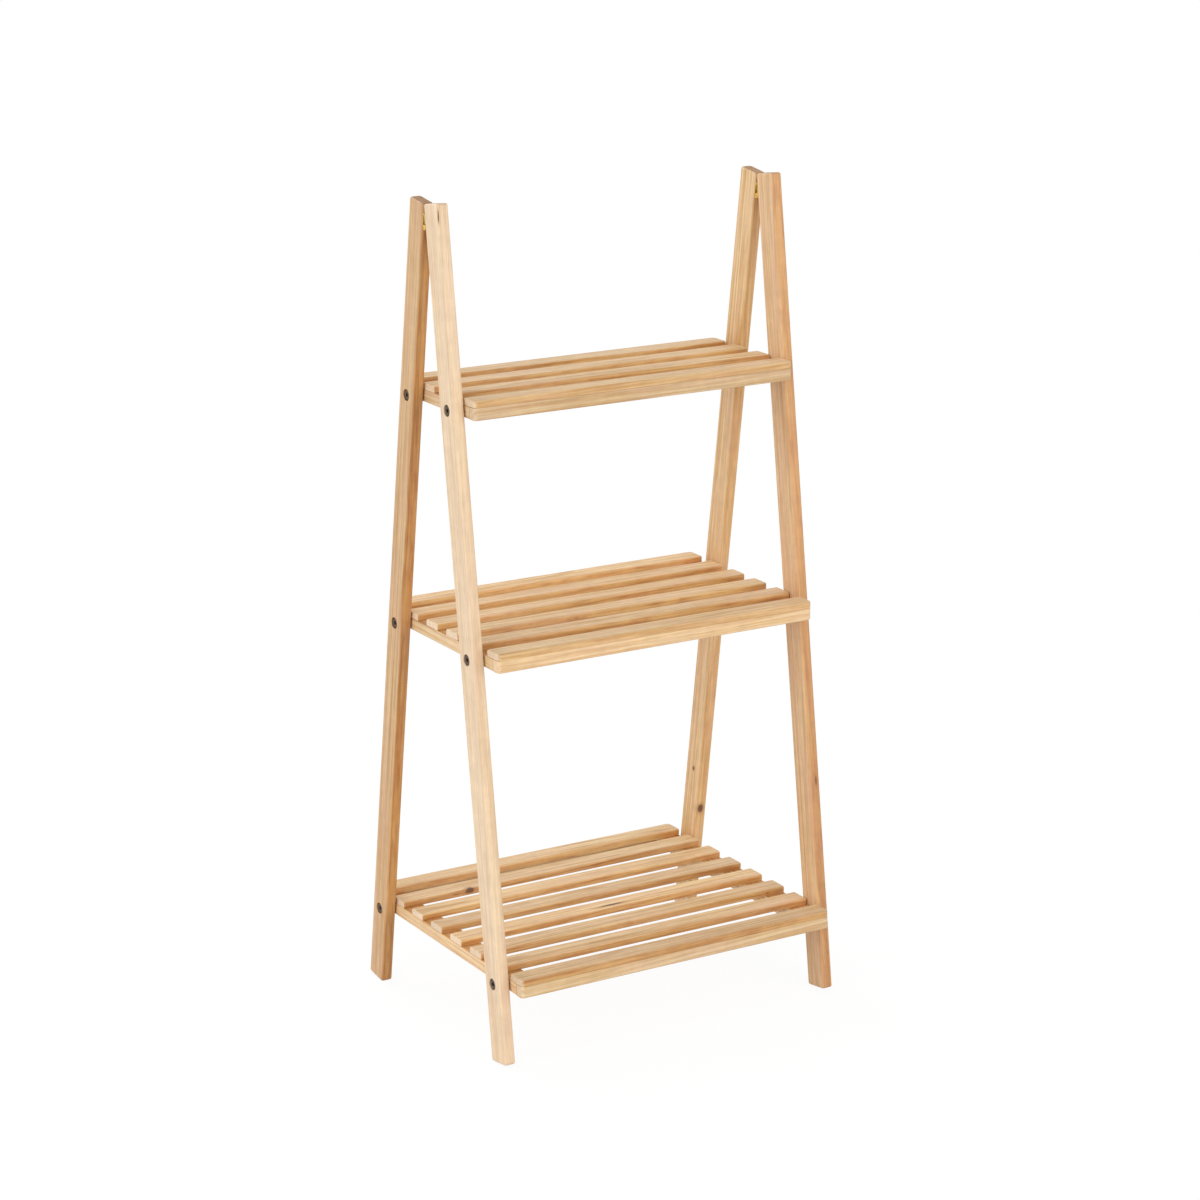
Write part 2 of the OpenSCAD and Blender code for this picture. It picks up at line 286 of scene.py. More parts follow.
def add_node(tree: NodeTree, kind: str, inputs: dict[int | str, Any] | Sequence[Any] = (),
             stops: Sequence[tuple[float, str]] = (), **settings: Any) -> Node:
    """Add a node with its settings and links.

    Args:
        tree: The material's node tree.
        kind: The node's type, without "ShaderNode".
        inputs: For each input socket, in order or by number or name, a value, a hex colour,
            a socket, or a node whose first live output is linked.
        stops: A colour ramp's places and hex colours.
        **settings: The node's own properties.

    Returns:
        The new node.
    """
    node = tree.nodes.new(f"ShaderNode{kind}")
    for name, value in settings.items():
        setattr(node, name, value)
    live = [s for s in node.inputs if s.enabled]
    given = inputs if isinstance(inputs, dict) else dict(enumerate(inputs))
    for key, value in given.items():
        socket = live[key] if isinstance(key, int) else next(s for s in live if s.name == key)
        if isinstance(value, Node):
            value = next(s for s in value.outputs if s.enabled)
        if isinstance(value, NodeSocket):
            tree.links.new(value, socket)
        else:
            socket.default_value = to_linear(value) if isinstance(value, str) else value
    if stops:
        ramp = node.color_ramp
        while len(ramp.elements) < len(stops):
            ramp.elements.new(0.5)
        for element, (place, colour) in zip(ramp.elements, stops):
            element.position, element.color = place, to_linear(colour)
    return node


def new_tree(name: str) -> tuple[Material, NodeTree]:
    """Make an empty material.

    Args:
        name: The material's name.

    Returns:
        The material and its node tree.
    """
    material = bpy.data.materials.new(name)
    material.use_nodes = True
    material.node_tree.nodes.clear()
    return material, material.node_tree


class Span(NamedTuple):
    """A range of values, and the range that it is turned into."""

    low: float
    high: float
    least: float = 0.0
    most: float = 1.0


@dataclass(frozen=True)
class Pattern:
    """Noise of a real size, drawn out along one axis of a surface.

    Attributes:
        long_mm: Its size along that axis.
        wide_mm: Its size across it.
        detail: How many times finer noise is laid over it.
        crisp: How strong each finer noise is.
        mean: The mean of its values.
    """

    long_mm: float
    wide_mm: float
    detail: float = 2.0
    crisp: float = 0.55
    mean = 0.5

    def lay(self, tree: NodeTree, place: NodeSocket, mm: float = 1.0, axis: int = 0) -> Node:
        """Lay the pattern on a surface.

        Args:
            tree: The material's node tree.
            place: What gives the place of each point of the surface.
            mm: A millimetre in the unit of that place.
            axis: Number of the axis that the pattern is drawn out along.

        Returns:
            The noise, from 0 to 1.
        """
        sizes = [self.wide_mm] * 3
        sizes[axis] = self.long_mm
        spread = add_node(tree, "VectorMath", (place, [1 / (mm * size) for size in sizes]),
                          operation="MULTIPLY")
        return add_node(tree, "TexNoise", {"Vector": spread, "Scale": 1.0,
                                           "Detail": self.detail, "Roughness": self.crisp})


@dataclass(frozen=True)
class SandedSoftwood:
    """Planed and lightly sanded softwood with no varnish on it.

    It reads as a pale, straight-grained board: soft early wood, thin darker late wood, a
    fine fibre along the grain, browner end grain, and a low sheen at a grazing angle. The
    patterns are in millimetres, along the grain and across it. A real fibre is 3 mm long and
    0.04 mm wide, which is too fine to show, so that it is drawn as coarse as it needs to be.
    """

    name: str = "softwood_planed_sanded"
    early: str = "#EACE9F"
    deep: str = "#CFA46B"
    rosy: str = "#E3BF9C"
    late: str = "#B28046"
    heart: str = "#C98A58"
    # The pale sapwood's colour, which also gives the painted light on the ends of slats and
    # aprons
    pale: str = "#F3E0CA"
    # Brown of the narrow edges: painted shade where they fall into shade, and partly browner
    # edge grain
    edge_brown: str = "#F0D6A8"
    end_grey: str = "#C2AE98"
    # A knot's warm halo, dark rim and brown heart: where each starts and is full, in the
    # knot's own radii, and its largest share
    knot_zones: tuple[tuple[Span, str], ...] = ((Span(2.1, 0.9, most=0.5), "#A66E3C"),
                                                (Span(1.15, 0.8, most=0.8), "#4C2E1A"),
                                                (Span(0.8, 0.35, most=0.75), "#5E3E28"))
    knot_edge: Pattern = Pattern(7.0, 1.6)
    knot_ragged: float = 0.7
    # How far the rings bend around a knot, and how soon that ends
    bend_mm: float = 2.2
    bend_fall: float = -0.22
    # How the rings wander along the board, and lie closer and wider by turns
    wander: Pattern = Pattern(320.0, 30.0)
    wander_mm: float = 7.0
    wobble: Pattern = Pattern(38.0, 9.0)
    years_apart: float = 0.45
    years_uneven: float = 0.9
    # One ring from its early to its late wood, how much the late wood differs from year to
    # year and fades in places, and its share of the colour
    ring_stops: tuple[tuple[float, str], ...] = (
        (0.0, "#000000"), (0.42, "#161616"), (0.74, "#7A7A7A"), (0.9, "#FFFFFF"),
        (0.97, "#E0E0E0"), (1.0, "#000000"))
    year_contrast: float = 2.0
    faintest_year: float = 0.15
    fading: Pattern = Pattern(90.0, 5.0)
    faded: Span = Span(0.3, 0.7, 0.35)
    late_share: float = 0.85
    # Deeper streaks, rosy areas, brown patches inside the narrow edges' painted shade, the
    # fibre, and a
    # broad figure: each pattern, and what it does to the colour or the light
    streak: Pattern = Pattern(190.0, 3.2, 4.0)
    streaked: Span = Span(0.38, 0.62)
    blush: Pattern = Pattern(120.0, 11.0)
    blushed: Span = Span(0.42, 0.68, most=0.6)
    patch: Pattern = Pattern(38.0, 5.0, 4.0)
    patched: Span = Span(0.48, 0.66, most=0.45)
    fibre: Pattern = Pattern(30.0, 0.6, 3.0)
    fibre_light: Span = Span(0.3, 0.7, 0.86, 1.09)
    figure: Pattern = Pattern(13.0, 16.0)
    figure_light: Span = Span(0.3, 0.7, 0.95, 1.04)
    # What the planing and the sanding leave
    late_proud_mm: float = 0.03
    fibre_lift_mm: float = 0.05
    roughness: float = 0.52
    fibre_rough: float = 0.16
    ior: float = 1.5

    def build(self) -> Material:
        """Make the material, which reads the grain that each board carries.

        Returns:
            The material.
        """
        material, tree = new_tree(self.name)
        add = partial(add_node, tree)
        grain = add("Attribute", attribute_name="grain").outputs["Vector"]
        facts = {word: add("Attribute", attribute_name=word).outputs["Fac"]
                 for word in ("ring", "tone", "warmth", "paleness", "end_grain", "edge_grain")}
        marks = [(add("Attribute", attribute_name=word).outputs["Vector"],
                  add("Attribute", attribute_name=f"{word}_soft").outputs["Fac"])
                 for word in Board.MARK_NAMES]
        late_wood, knots = self._rings(tree, grain, facts["ring"], marks)
        colour, fibre = self._tint(tree, grain, facts, late_wood)
        for depth in knots:
            for zone, hex_colour in self.knot_zones:
                inside = add("MapRange", (depth, *zone), interpolation_type="SMOOTHSTEP")
                colour = add("Mix", (inside, colour, hex_colour), data_type="RGBA")
        # The plane leaves the late wood a touch proud, and the sanding lifts the fibre
        lift = add("Math", (fibre, self.fibre_lift_mm), operation="MULTIPLY")
        height = add("Math", (late_wood, self.late_proud_mm, lift), operation="MULTIPLY_ADD")
        bump = add("Bump", {"Height": height, "Strength": 1.0, "Distance": MM})
        smoothest = self.roughness - self.fibre_rough * Pattern.mean
        rough = add("Math", (fibre, self.fibre_rough, smoothest), operation="MULTIPLY_ADD")
        shader = add("BsdfPrincipled", {"Base Color": colour, "Roughness": rough,
                                        "Normal": bump, "IOR": self.ior})
        add("OutputMaterial", {"Surface": shader})
        return material

    def _rings(self, tree: NodeTree, grain: NodeSocket, ring: NodeSocket,
               marks: Sequence[tuple[NodeSocket, NodeSocket]]) -> tuple[Node, list[Node]]:
        """Draw the growth rings, which wander and bend around the knots.

        Args:
            tree: The material's node tree.
            grain: The place from the pith.
            ring: Mean width of a ring.
            marks: For each knot, the place in its own radii, and its softness.

        Returns:
            The share of late wood, and for each knot how far out of it a point lies.
        """
        add = partial(add_node, tree)
        across = add("VectorMath", (grain, (0.0, 1.0, 1.0)), operation="MULTIPLY")
        radius = add("VectorMath", (across,), operation="LENGTH")
        wander = add("Math", (self.wander.lay(tree, grain), Pattern.mean),
                     operation="SUBTRACT")
        wander = add("Math", (wander, self.wander_mm), operation="MULTIPLY")
        wobble = add("Math", (self.wobble.lay(tree, grain), Pattern.mean),
                     operation="SUBTRACT")
        wander = add("Math", (wander, wobble), operation="ADD")
        radius = add("Math", (radius, wander), operation="ADD")
        depths = []
        for mark, soft in marks:
            far = add("VectorMath", (mark,), operation="LENGTH")
            ragged = add("Math", (self.knot_edge.lay(tree, grain), self.knot_ragged, far),
                         operation="MULTIPLY_ADD")
            soft = add("Math", (soft, self.knot_ragged * Pattern.mean), operation="SUBTRACT")
            depths.append(add("Math", (ragged, soft), operation="ADD"))
            fall = add("Math", (far, far), operation="MULTIPLY")
            fall = add("Math", (fall, self.bend_fall), operation="MULTIPLY")
            swell = add("Math", (fall,), operation="EXPONENT")
            radius = add("Math", (swell, self.bend_mm, radius), operation="MULTIPLY_ADD")
        turns = add("Math", (radius, ring), operation="DIVIDE")
        pace = add("Math", (turns, self.years_apart), operation="MULTIPLY")
        uneven = add("TexNoise", {"W": pace, "Scale": 1.0, "Detail": 1.0},
                     noise_dimensions="1D")
        turns = add("Math", (uneven, self.years_uneven, turns), operation="MULTIPLY_ADD")
        year = add("Math", (turns,), operation="FLOOR")
        year = add("TexWhiteNoise", {"W": year}, noise_dimensions="1D")
        late = add("Math", (turns,), operation="FRACT")
        late = add("ValToRGB", (late,), stops=self.ring_stops)
        fade = add("MapRange", (self.fading.lay(tree, grain), *self.faded))
        strong = add("Math", (year, self.year_contrast), operation="POWER")
        strong = add("Math", (strong, 1 - self.faintest_year, self.faintest_year),
                     operation="MULTIPLY_ADD")
        late = add("Math", (late, strong), operation="MULTIPLY")
        return add("Math", (late, fade), operation="MULTIPLY"), depths

    def _tint(self, tree: NodeTree, grain: NodeSocket, facts: dict[str, NodeSocket],
              late_wood: Node) -> tuple[Node, Node]:
        """Colour the wood: early wood, broad deeper streaks, late wood, then the fibre.

        Args:
            tree: The material's node tree.
            grain: The place from the pith.
            facts: What the board carries about its cut.
            late_wood: The share of late wood.

        Returns:
            The colour, and the fibre's noise.
        """
        add = partial(add_node, tree)
        streak = add("MapRange", (self.streak.lay(tree, grain), *self.streaked))
        colour = add("Mix", (streak, self.early, self.deep), data_type="RGBA")
        blush = add("MapRange", (self.blush.lay(tree, grain), *self.blushed))
        colour = add("Mix", (blush, colour, self.rosy), data_type="RGBA")
        share = add("Math", (late_wood, self.late_share), operation="MULTIPLY")
        colour = add("Mix", (share, colour, self.late), data_type="RGBA")
        patch = add("MapRange", (self.patch.lay(tree, grain), *self.patched))
        patch = add("Math", (patch, facts["edge_grain"]), operation="MULTIPLY")
        # Heartwood, brown patches, painted shade on narrow edges and rail faces, and the grey
        # end grain
        for share, hex_colour in ((facts["warmth"], self.heart), (patch, self.heart),
                                  (facts["edge_grain"], self.edge_brown),
                                  (facts["end_grain"], self.end_grey)):
            colour = add("Mix", (share, colour, hex_colour), data_type="RGBA",
                         blend_type="MULTIPLY")
        # Paler sapwood, and painted light that makes the ends of slats and aprons paler
        colour = add("Mix", (facts["paleness"], colour, self.pale), data_type="RGBA")
        fibre = self.fibre.lay(tree, grain)
        light = add("MapRange", (fibre, *self.fibre_light))
        figure = add("MapRange", (self.figure.lay(tree, grain), *self.figure_light))
        light = add("Math", (light, figure), operation="MULTIPLY")
        tone = add("Math", (facts["tone"], 1.0), operation="ADD")
        light = add("Math", (light, tone), operation="MULTIPLY")
        return add("VectorMath", (colour, light), operation="SCALE"), fibre


@dataclass(frozen=True)
class TurnedBeech:
    """Turned beech dowel: an even tan hardwood with short dark flecks along the grain.

    The flecks are the rays of beech, at their real length and somewhat wider.
    """

    name: str = "beech_turned"
    fleck: Pattern = Pattern(2.2, 0.4, crisp=0.5)
    stops: tuple[tuple[float, str], ...] = ((0.42, "#D9B183"), (0.68, "#B88555"))
    grain_depth_mm: float = 0.04
    roughness: float = 0.55
    ior: float = 1.5

    def build(self) -> Material:
        """Make the material. The dowels lie along Y, and so do the flecks.

        Returns:
            The material.
        """
        material, tree = new_tree(self.name)
        place = add_node(tree, "TexCoord").outputs["Object"]
        noise = self.fleck.lay(tree, place, MM, axis=1)
        colour = add_node(tree, "ValToRGB", (noise,), stops=self.stops)
        bump = add_node(tree, "Bump", {"Height": noise, "Strength": 0.6,
                                       "Distance": self.grain_depth_mm * MM})
        shader = add_node(tree, "BsdfPrincipled", {
            "Base Color": colour, "Roughness": self.roughness, "Normal": bump,
            "IOR": self.ior})
        add_node(tree, "OutputMaterial", {"Surface": shader})
        return material


@dataclass(frozen=True)
class Metal:
    """A machined or rolled metal with the marks of its making.

    Attributes:
        name: The material's name.
        bare: Colour of the metal or of its plating.
        stained: Colour where it has dulled or where the plating is thin.
        worn: Colour on the edges that hands and tools have rubbed.
        roughness: Its mean roughness.
        stain_mm: Size of the dulled patches.
        grain_mm: Length and width of the tool marks, or of the metal's fine texture. Real
            ones are a few hundredths wide, and these are drawn coarser so that they show.
        grain_depth_mm: Depth of those marks.
        stain: Where the patches start and are full, in the clouds' noise.
        rough: How the roughness follows the clouds, about its mean.
    """

    name: str
    bare: str
    stained: str
    worn: str
    roughness: float
    stain_mm: float
    grain_mm: Point
    grain_depth_mm: float = 0.01
    stain: Span = Span(0.4, 0.65)
    rough: Span = Span(0.3, 0.7, -0.07, 0.1)

    def build(self) -> Material:
        """Make the material, with dulled patches and rubbed edges.

        Returns:
            The material.
        """
        material, tree = new_tree(self.name)
        add = partial(add_node, tree)
        place = add("TexCoord").outputs["Object"]
        marks = Pattern(*self.grain_mm, crisp=0.5).lay(tree, place, MM)
        cloud = add("TexNoise", {"Vector": place, "Detail": 3.0,
                                 "Scale": 1 / (MM * self.stain_mm)})
        patch = add("MapRange", (cloud, *self.stain))
        colour = add("Mix", (patch, self.bare, self.stained), data_type="RGBA")
        rubbed = add("Attribute", attribute_name="worn").outputs["Fac"]
        colour = add("Mix", (rubbed, colour, self.worn), data_type="RGBA")
        low, high, smoother, rougher = self.rough
        rough = add("MapRange", (cloud, low, high, self.roughness + smoother,
                                 self.roughness + rougher))
        bump = add("Bump", {"Height": marks, "Strength": 1.0,
                            "Distance": MM * self.grain_depth_mm})
        shader = add("BsdfPrincipled", {"Base Color": colour, "Metallic": 1.0,
                                        "Roughness": rough, "Normal": bump})
        add("OutputMaterial", {"Surface": shader})
        return material


# Bronze-black plating on steel cap bolts: dark and dull, browner where it is thin
BOLT_FINISH = Metal("steel_bronze_black_plated", "#5E5248", "#6A5846", "#94826B", 0.45, 2.5,
                    (0.4, 0.4))
# Zinc-plated steel: cool grey with a soft spangle
NUT_FINISH = Metal("steel_zinc_plated", "#C6C8C9", "#A9ADB0", "#D8DADA", 0.34, 1.6, (0.5, 0.5))
# Rolled brass sheet: yellow, with fine lines along the roll and a little tarnish
LEAF_FINISH = Metal("brass_rolled", "#E8C66C", "#CFA64E", "#F4DA92", 0.4, 3.0, (4.0, 0.15))
# Turned brass: a touch redder and brighter than the sheet
SCREW_FINISH = Metal("brass_turned", "#DDB257", "#B98F3E", "#F2D88C", 0.25, 2.0, (0.3, 0.3))
# Bright drawn wire: a clean grey steel with a fine texture
BRAD_FINISH = Metal("steel_drawn_wire", "#B9BABB", "#8F9092", "#D0D1D2", 0.38, 1.5, (0.2, 0.2))


class Finishes:
    """The materials of the stand, each made once."""

    def __init__(self) -> None:
        """Build every material."""
        self.softwood = SandedSoftwood().build()
        self.beech = TurnedBeech().build()
        self.bolt = BOLT_FINISH.build()
        self.nut = NUT_FINISH.build()
        self.leaf = LEAF_FINISH.build()
        self.screw = SCREW_FINISH.build()
        self.brad = BRAD_FINISH.build()


# ---------------------------------------------------------------- shapes on the bench


@dataclass(frozen=True)
class Edges:
    """Radii of a board's long edges, in mm.

    Attributes:
        upper: At its upper face.
        lower: At its lower face.
    """

    upper: float
    lower: float

    @classmethod
    def alike(cls, radius: float) -> "Edges":
        """Give the same radius to all four edges."""
        return cls(radius, radius)


def rounded_rect(width: float, height: float, edges: Edges, steps: int = 5) -> list[Point]:
    """Give the outline of a rectangle with round corners, about the origin.

    Args:
        width: Its size along the first axis.
        height: Its size along the second axis.
        edges: Radii of its upper and lower corners.
        steps: Number of edges in a corner.

    Returns:
        The points, anticlockwise.
    """
    points = []
    for corner, (sx, sy) in enumerate(((1, 1), (-1, 1), (-1, -1), (1, -1))):
        radius = min(edges.upper if sy > 0 else edges.lower, 0.49 * height)
        for step in range(steps + 1):
            turn = math.pi / 2 * (corner + step / steps)
            points.append((sx * (width / 2 - radius) + radius * math.cos(turn),
                           sy * (height / 2 - radius) + radius * math.sin(turn)))
    return points


def skin(rings: Sequence[Sequence[Vector]], closed: bool = False) -> Mesh:
    """Join rings of equally many points into a closed skin.

    Args:
        rings: The rings, from one end to the other.
        closed: True if the last ring joins the first, and no end is capped.

    Returns:
        The mesh. A face's "row" says after which ring it lies.
    """
    bm = bmesh.new()
    row = bm.faces.layers.int.new("row")
    made = [[bm.verts.new(p) for p in ring] for ring in rings]
    count = len(made[0])
    for r in range(len(made) if closed else len(made) - 1):
        low, high = made[r], made[(r + 1) % len(made)]
        for k in range(count):
            n = (k + 1) % count
            bm.faces.new((low[k], low[n], high[n], high[k]))[row] = r
    if not closed:
        bm.faces.new(made[0][::-1])[row] = -1
        bm.faces.new(made[-1])[row] = len(made)
    bmesh.ops.recalc_face_normals(bm, faces=bm.faces)
    mesh = bpy.data.meshes.new("blank")
    bm.to_mesh(mesh)
    bm.free()
    return mesh


@dataclass(frozen=True)
class Ease:
    """How far a board's ends are rounded over, in mm.

    Attributes:
        low: Towards its low edge, across the board.
        high: Towards its high edge.
        through: Towards both of its faces.
    """

    low: float = 0.5
    high: float = 0.5
    through: float = 0.5


def eased_bar(length: float, width: float, height: float, edges: Edges,
              ease: Ease) -> Mesh:
    """Make a bar along x with round long edges and eased ends.

    Args:
        length: Its length.
        width: Its size along y.
        height: Its size along z.
        edges: Radii of its long edges.
        ease: How far both ends are rounded over.

    Returns:
        The mesh, about its own middle.
    """
    steps = 5
    turns = [math.pi / 2 * k / steps for k in range(steps + 1)]
    most = max(ease.low, ease.high, ease.through)
    stations = [(-length / 2 + most * (1 - math.cos(t)), 1 - math.sin(t)) for t in turns]
    stations += [(-x, inset) for x, inset in reversed(stations)]
    rings = []
    for x, inset in stations:
        outline = rounded_rect(width - (ease.low + ease.high) * inset,
                               height - 2 * ease.through * inset, edges)
        shift = (ease.low - ease.high) / 2 * inset
        rings.append([Vector((x, y + shift, z)) for y, z in outline])
    return skin(rings)


@dataclass(frozen=True)
class Ring:
    """One ring of a turned piece.

    Attributes:
        along: Its place along the axis.
        radius: Its radius, where it is round.
        flats: Size across flats of a hexagon that cuts the circle, or 0. With an infinite
            radius, only the flats are left.
    """

    along: float
    radius: float
    flats: float = 0.0


def edge_rings(face: float, radius: float, way: int, steps: Steps, flats: float = 0.0
               ) -> list[Ring]:
    """Give the rings of a rounded or chamfered edge.

    Args:
        face: Place of the face along the axis.
        radius: Radius of the rim.
        way: 1 if the piece goes on in the axis's own way behind the face, otherwise -1.
        steps: How far behind the face and inside the rim each ring lies.
        flats: Size across flats, or 0.

    Returns:
        The rings.
    """
    return [Ring(face + way * back, radius - inside, flats) for back, inside in steps]


def turned(rings: Sequence[Ring], closed: bool = False, count: int = 48) -> Mesh:
    """Make a turned or hexagonal piece along x.

    Args:
        rings: Its rings, from one end to the other.
        closed: True for a ring-shaped piece, such as a washer.
        count: Points in a ring, a multiple of 12.

    Returns:
        The mesh.
    """
    made = []
    for ring in rings:
        points = []
        for k in range(count):
            turn = 2 * math.pi * k / count
            radius = ring.radius
            if ring.flats:
                off_flat = (turn % (math.pi / 3)) - math.pi / 6
                radius = min(radius, ring.flats / 2 / math.cos(off_flat))
            points.append(Vector((ring.along, radius * math.sin(turn),
                                  radius * math.cos(turn))))
        made.append(points)
    return skin(made, closed)


def put(mesh: Mesh, place: Matrix) -> None:
    """Move a mesh to its place, and turn its faces out again if the place is mirrored.

    Args:
        mesh: The mesh.
        place: Its place in the stand's frame.
    """
    mesh.transform(place)
    if place.determinant() < 0:
        mesh.flip_normals()


def prism(outline: Sequence[Point], length: float) -> Mesh:
    """Make a straight prism along x.

    Args:
        outline: Its outline in y and z.
        length: Its length.

    Returns:
        The mesh, about its own middle.
    """
    return skin([[Vector((x, y, z)) for y, z in outline] for x in (-length / 2, length / 2)])


class Workpiece:
    """A mesh on the bench, in mm, which is cut, joined, smoothed and handed over."""

    def __init__(self, name: str, mesh: Mesh, place: Matrix | None = None) -> None:
        """Put a mesh on the bench.

        Args:
            name: The finished piece's name.
            mesh: Its blank.
            place: Where the blank goes in the stand's frame, in mm.
        """
        self.obj = bpy.data.objects.new(name, mesh)
        mesh.name = name
        bpy.context.scene.collection.objects.link(self.obj)
        if place is not None:
            put(mesh, place)

    @property
    def mesh(self) -> Mesh:
        """The mesh as it is now."""
        return self.obj.data

    def work(self, tools: Sequence[Tool], way: str = "DIFFERENCE") -> None:
        """Cut tools out of the piece, or join them to it.

        Args:
            tools: Each tool's mesh and its place in the stand's frame.
            way: Blender's name of the boolean operation.
        """
        helpers = []
        for mesh, place in tools:
            helper = bpy.data.objects.new("tool", mesh)
            put(mesh, place)
            bpy.context.scene.collection.objects.link(helper)
            modifier = self.obj.modifiers.new("work", "BOOLEAN")
            modifier.operation, modifier.solver, modifier.object = way, "EXACT", helper
            helpers.append(helper)
        if helpers:
            bpy.context.view_layer.update()
            depsgraph = bpy.context.evaluated_depsgraph_get()
            done = bpy.data.meshes.new_from_object(self.obj.evaluated_get(depsgraph))
            self.obj.modifiers.clear()
            self.obj.data = done
            done.name = self.obj.name
        for helper in helpers:
            bpy.data.meshes.remove(helper.data)

    def merge(self, blanks: Sequence[Tool]) -> None:
        """Add loose solids to the piece, which don't touch each other.

        Args:
            blanks: Each solid's mesh and its place in the stand's frame.
        """
        bm = bmesh.new()
        bm.from_mesh(self.mesh)
        for mesh, place in blanks:
            put(mesh, place)
            bm.from_mesh(mesh)
            bpy.data.meshes.remove(mesh)
        bm.to_mesh(self.mesh)
        bm.free()

    def hand_over(self, node: str, material: Material) -> None:
        """Smooth the piece, give it its finish and set it in the stand.

        Args:
            node: The node that the piece stands for.
            material: Its finish.
        """
        self.mesh.transform(Matrix.Scale(MM, 4))
        self.mesh.materials.clear()
        self.mesh.materials.append(material)
        self.mesh.polygons.foreach_set("use_smooth", [True] * len(self.mesh.polygons))
        self.mesh.set_sharp_from_angle(angle=SMOOTH_BELOW)
        even = self.obj.modifiers.new("flat_faces_stay_flat", "WEIGHTED_NORMAL")
        even.keep_sharp = True
        body = body_of(node)
        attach(self.obj, body)
        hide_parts(node)
        check_place(self.obj, node)
        LOG.info("%s rides on %s with %s", self.obj.name, body, material.name)


def body_of(node: str) -> str:
    """Give the body that a node belongs to.

    Args:
        node: The node's name.

    Returns:
        The body's name.
    """
    bodies = frame["record"]["behaviour"]["bodies"]
    return next(body for body, nodes in bodies.items() if node in nodes)


def check_place(obj: Object, node: str, slack: float = 0.25 * MM) -> None:
    """Stop the script if a piece reaches out of the box of the node that it replaces.

    Args:
        obj: The finished piece.
        node: The node.
        slack: How far it may reach out.
    """
    low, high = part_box(node)
    for vertex in obj.data.vertices:
        for value, least, most in zip(vertex.co, low, high):
            if not least - slack <= value <= most + slack:
                raise ValueError(f"{obj.name} leaves the box of {node} at {vertex.co}")


# ---------------------------------------------------------------- boards


@dataclass(frozen=True)
class Mark:
    """A knot or a resin streak: an ellipsoid in its board's own axes.

    Attributes:
        at: Its middle along, across and through the board.
        reach: Its half sizes in the same order.
        soft: 0 for a whole knot, 0.8 for one without its brown heart, and from 1.15 on a
            brown streak without a dark rim, which is fainter the higher the number.
    """

    at: tuple[float, float, float]
    reach: tuple[float, float, float]
    soft: float = 0.0


@dataclass(frozen=True)
class Cut:
    """How a board was cut from its tree.

    Attributes:
        pith: Place of the pith from the board's middle, across and through.
        slope: Drift of the pith across and through, per mm of length.
        start: Where along the tree the board was cut, so that no two look alike.
        ring: Mean width of a year's growth.
        tone: How much lighter or darker than its neighbours, as a share.
        warmth: Share of reddish heartwood.
        paleness: Share of the palest sapwood.
        edge_brown: How much browner its narrow edges are than its faces, from 0
        to 1: painted shade, and partly the browner grain of an edge.
    """

    pith: Point
    slope: Point
    start: float
    ring: float
    tone: float = 0.0
    warmth: float = 0.0
    paleness: float = 0.0
    edge_brown: float = 0.8

    @classmethod
    def drawn(cls, name: str, sawn: Sawn, **look: float) -> "Cut":
        """Draw a cut for a board, the same each time for the same name.

        Args:
            name: The board's name, which seeds the draw.
            sawn: How it was sawn.
            **look: The ring, tone, warmth, paleness or edge_brown, where they are known.

        Returns:
            The cut.
        """
        draw = random.Random(name)
        across, through = sawn.value
        facts = {
            "pith": (draw.choice((-1, 1)) * across * draw.uniform(0.8, 1.25),
                     draw.choice((-1, 1)) * through * draw.uniform(0.8, 1.3)),
            "slope": (draw.uniform(-0.012, 0.012), draw.uniform(-0.03, 0.03)),
            "start": draw.uniform(-4000, 4000),
            "ring": draw.uniform(2.8, 4.8),
            "tone": draw.uniform(-0.04, 0.04),
            "warmth": draw.uniform(0.0, 0.08)}
        return cls(**(facts | look))


